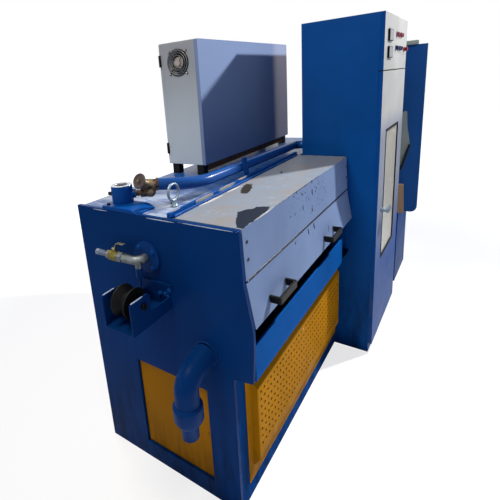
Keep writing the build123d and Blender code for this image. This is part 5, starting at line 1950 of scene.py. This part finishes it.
@dataclass
class TallCabinet:
    """Tall cabinet with its control panel, glazed door, meters and buttons."""

    seal_w: float = 13.0
    seal_t: float = 4.0
    bead: float = 15.0
    meter_z: tuple[float, float] = (1780.0, 1698.0)
    meter_x: float = 1328.0
    meter_half: tuple[float, float] = (45.0, 25.0)
    pink_at: Outline = ((1515.0, 1792.0), (1650.0, 1792.0))
    red_at: Outline = ((1582.0, 1792.0),)
    dark_at: Outline = ((1500.0, 1722.0), (1565.0, 1722.0), (1630.0, 1722.0))
    stop_at: tuple[float, float] = (1762.0, 1720.0)

    def build(self) -> None:
        """Build the walls, the door and the panel with its fittings."""
        for sheet in ("near_wall", "far_wall", "back_wall", "roof", "floor"):
            soften("cabinet_" + sheet, BLUE, 1.2)
        soften("control_panel", CREAM, 1.5)
        soften("cabinet_door", CREAM, 1.5)
        soften("door_window", GLASS, 0.0)
        soften("door_handle", PLATED, 2.0, 3)
        self.seal()
        self.meters()
        self.buttons()

    def seal(self) -> None:
        """Black rubber seal round the window, on the door's face."""
        low, high = span("door_window")
        face = span("cabinet_door")[0].y
        half = self.seal_w / 2
        x0, x1 = low.x + self.bead, high.x - self.bead
        z0, z1 = low.z + self.bead, high.z - self.bead
        front, back = face - self.seal_t / 2, face + self.seal_t
        blocks("window_seal", [
            ((x0 - half, front, z0 - half), (x0 + half, back, z1 + half)),
            ((x1 - half, front, z0 - half), (x1 + half, back, z1 + half)),
            ((x0 + half, front, z0 - half), (x1 - half, back, z0 + half)),
            ((x0 + half, front, z1 - half), (x1 - half, back, z1 + half))], RUBBER, 1.5, "door")

    def meters(self) -> None:
        """Two meters with a dark case and a pale, glossy face."""
        soften("panel_meters", BLACK, 1.5)
        front = span("panel_meters")[0].y
        half_x, half_z = self.meter_half
        blocks("meter_faces", [((self.meter_x - half_x, front - 1.0, z - half_z),
                                (self.meter_x + half_x, front + 0.5, z + half_z))
                               for z in self.meter_z],
               METER_FACE, 0.6)

    def button(self, at: tuple[float, float], reach: float = 16.0,
               cap_r: float = 11.0) -> bmesh.types.BMesh:
        """Turn one push button: a collar on the panel and a domed cap.

        Args:
            at: Its X and Z.
            reach: How far it stands out of the panel.
            cap_r: Radius of the cap.

        Returns:
            The button's bmesh.
        """
        face = span("control_panel")[0].y
        profile = [(0.0, 0.0), (0.0, 14.5), (3.0, 14.5), (4.5, 12.5), (5.0, 10.5),
                   (reach * 0.62, 10.0), (reach * 0.66, cap_r), (reach - 2.5, cap_r),
                   (reach - 0.8, cap_r * 0.8), (reach, 0.0)]
        return turned(profile, (at[0], face, at[1]), TO_FRONT, 24)

    def buttons(self) -> None:
        """Push buttons in two rows, and the mushroom stop."""
        mount("buttons_pink", finished(joined([self.button(p) for p in self.pink_at])), PINK_CAP)
        mount("buttons_dark", finished(joined([self.button(p) for p in self.dark_at])), BLUE_CAP)
        reds = [self.button(p) for p in self.red_at] + [self.button(self.stop_at, 22.0, 14.0)]
        mount("buttons_red", finished(joined(reds)), RED_CAP, "machine", ("panel_buttons",))


@dataclass
class TakeUp:
    """Take-up end: hanging side wall, closed housing, low base and wire guard."""

    apron_x: float = 2058.0
    apron: Outline = ((-488.0, 1302.0), (-540.0, 1330.0), (-553.0, 1329.0), (-561.0, 1222.0),
                      (-582.0, 1106.0), (-545.0, 960.0), (-488.0, 940.0))
    board: Outline = ((-488.0, 818.0), (-558.0, 820.0), (-570.0, 605.0), (-488.0, 601.0))
    bar: tuple[Point, ...] = ((2050.0, -583.0, 1108.0), (2050.0, -541.0, 942.0),
                              (2050.0, -489.0, 850.0))
    bar_r: float = 7.0
    wall_cap: tuple[Point, Point] = ((2141.0, -585.0, 1757.0), (2171.0, -512.0, 1784.0))

    def build(self) -> None:
        """Build the wall, the housing, the base and the guard."""
        soften("takeup_side_wall", BLUE_DUSTY, 1.5)
        soften("takeup_housing", BLUE, 2.0, 3)
        soften("link_base", BLUE, 1.5)
        soften("wire_guard", GUARD_GREY, 1.2)
        mount("guard_apron", finished(plate(self.apron, self.apron_x, 3.0), 0.6), GUARD_GREY)
        mount("guard_board", finished(plate(self.board, self.apron_x, 6.0), 0.8), TAN_BOARD)
        bar = swept(round_section(self.bar_r, 14), self.bar, TO_OUTLET)
        mount("guard_stay_bar", finished(bar, 0.8), OILED)
        blocks("wing_top_cap", [self.wall_cap], GUARD_GREY, 3.0)


def main() -> None:
    """Build the studio and the machine's sub-assemblies in order."""
    logging.basicConfig(level=logging.INFO, format="%(message)s")
    for part in (Studio(), PhotoCamera(), InletEnd(), TankBase(), Hood(), GearHousing(),
                 ControlBox(), TallCabinet(), TakeUp()):
        LOG.info("building %s", type(part).__name__)
        part.build()


if __name__ == "__main__":
    main()
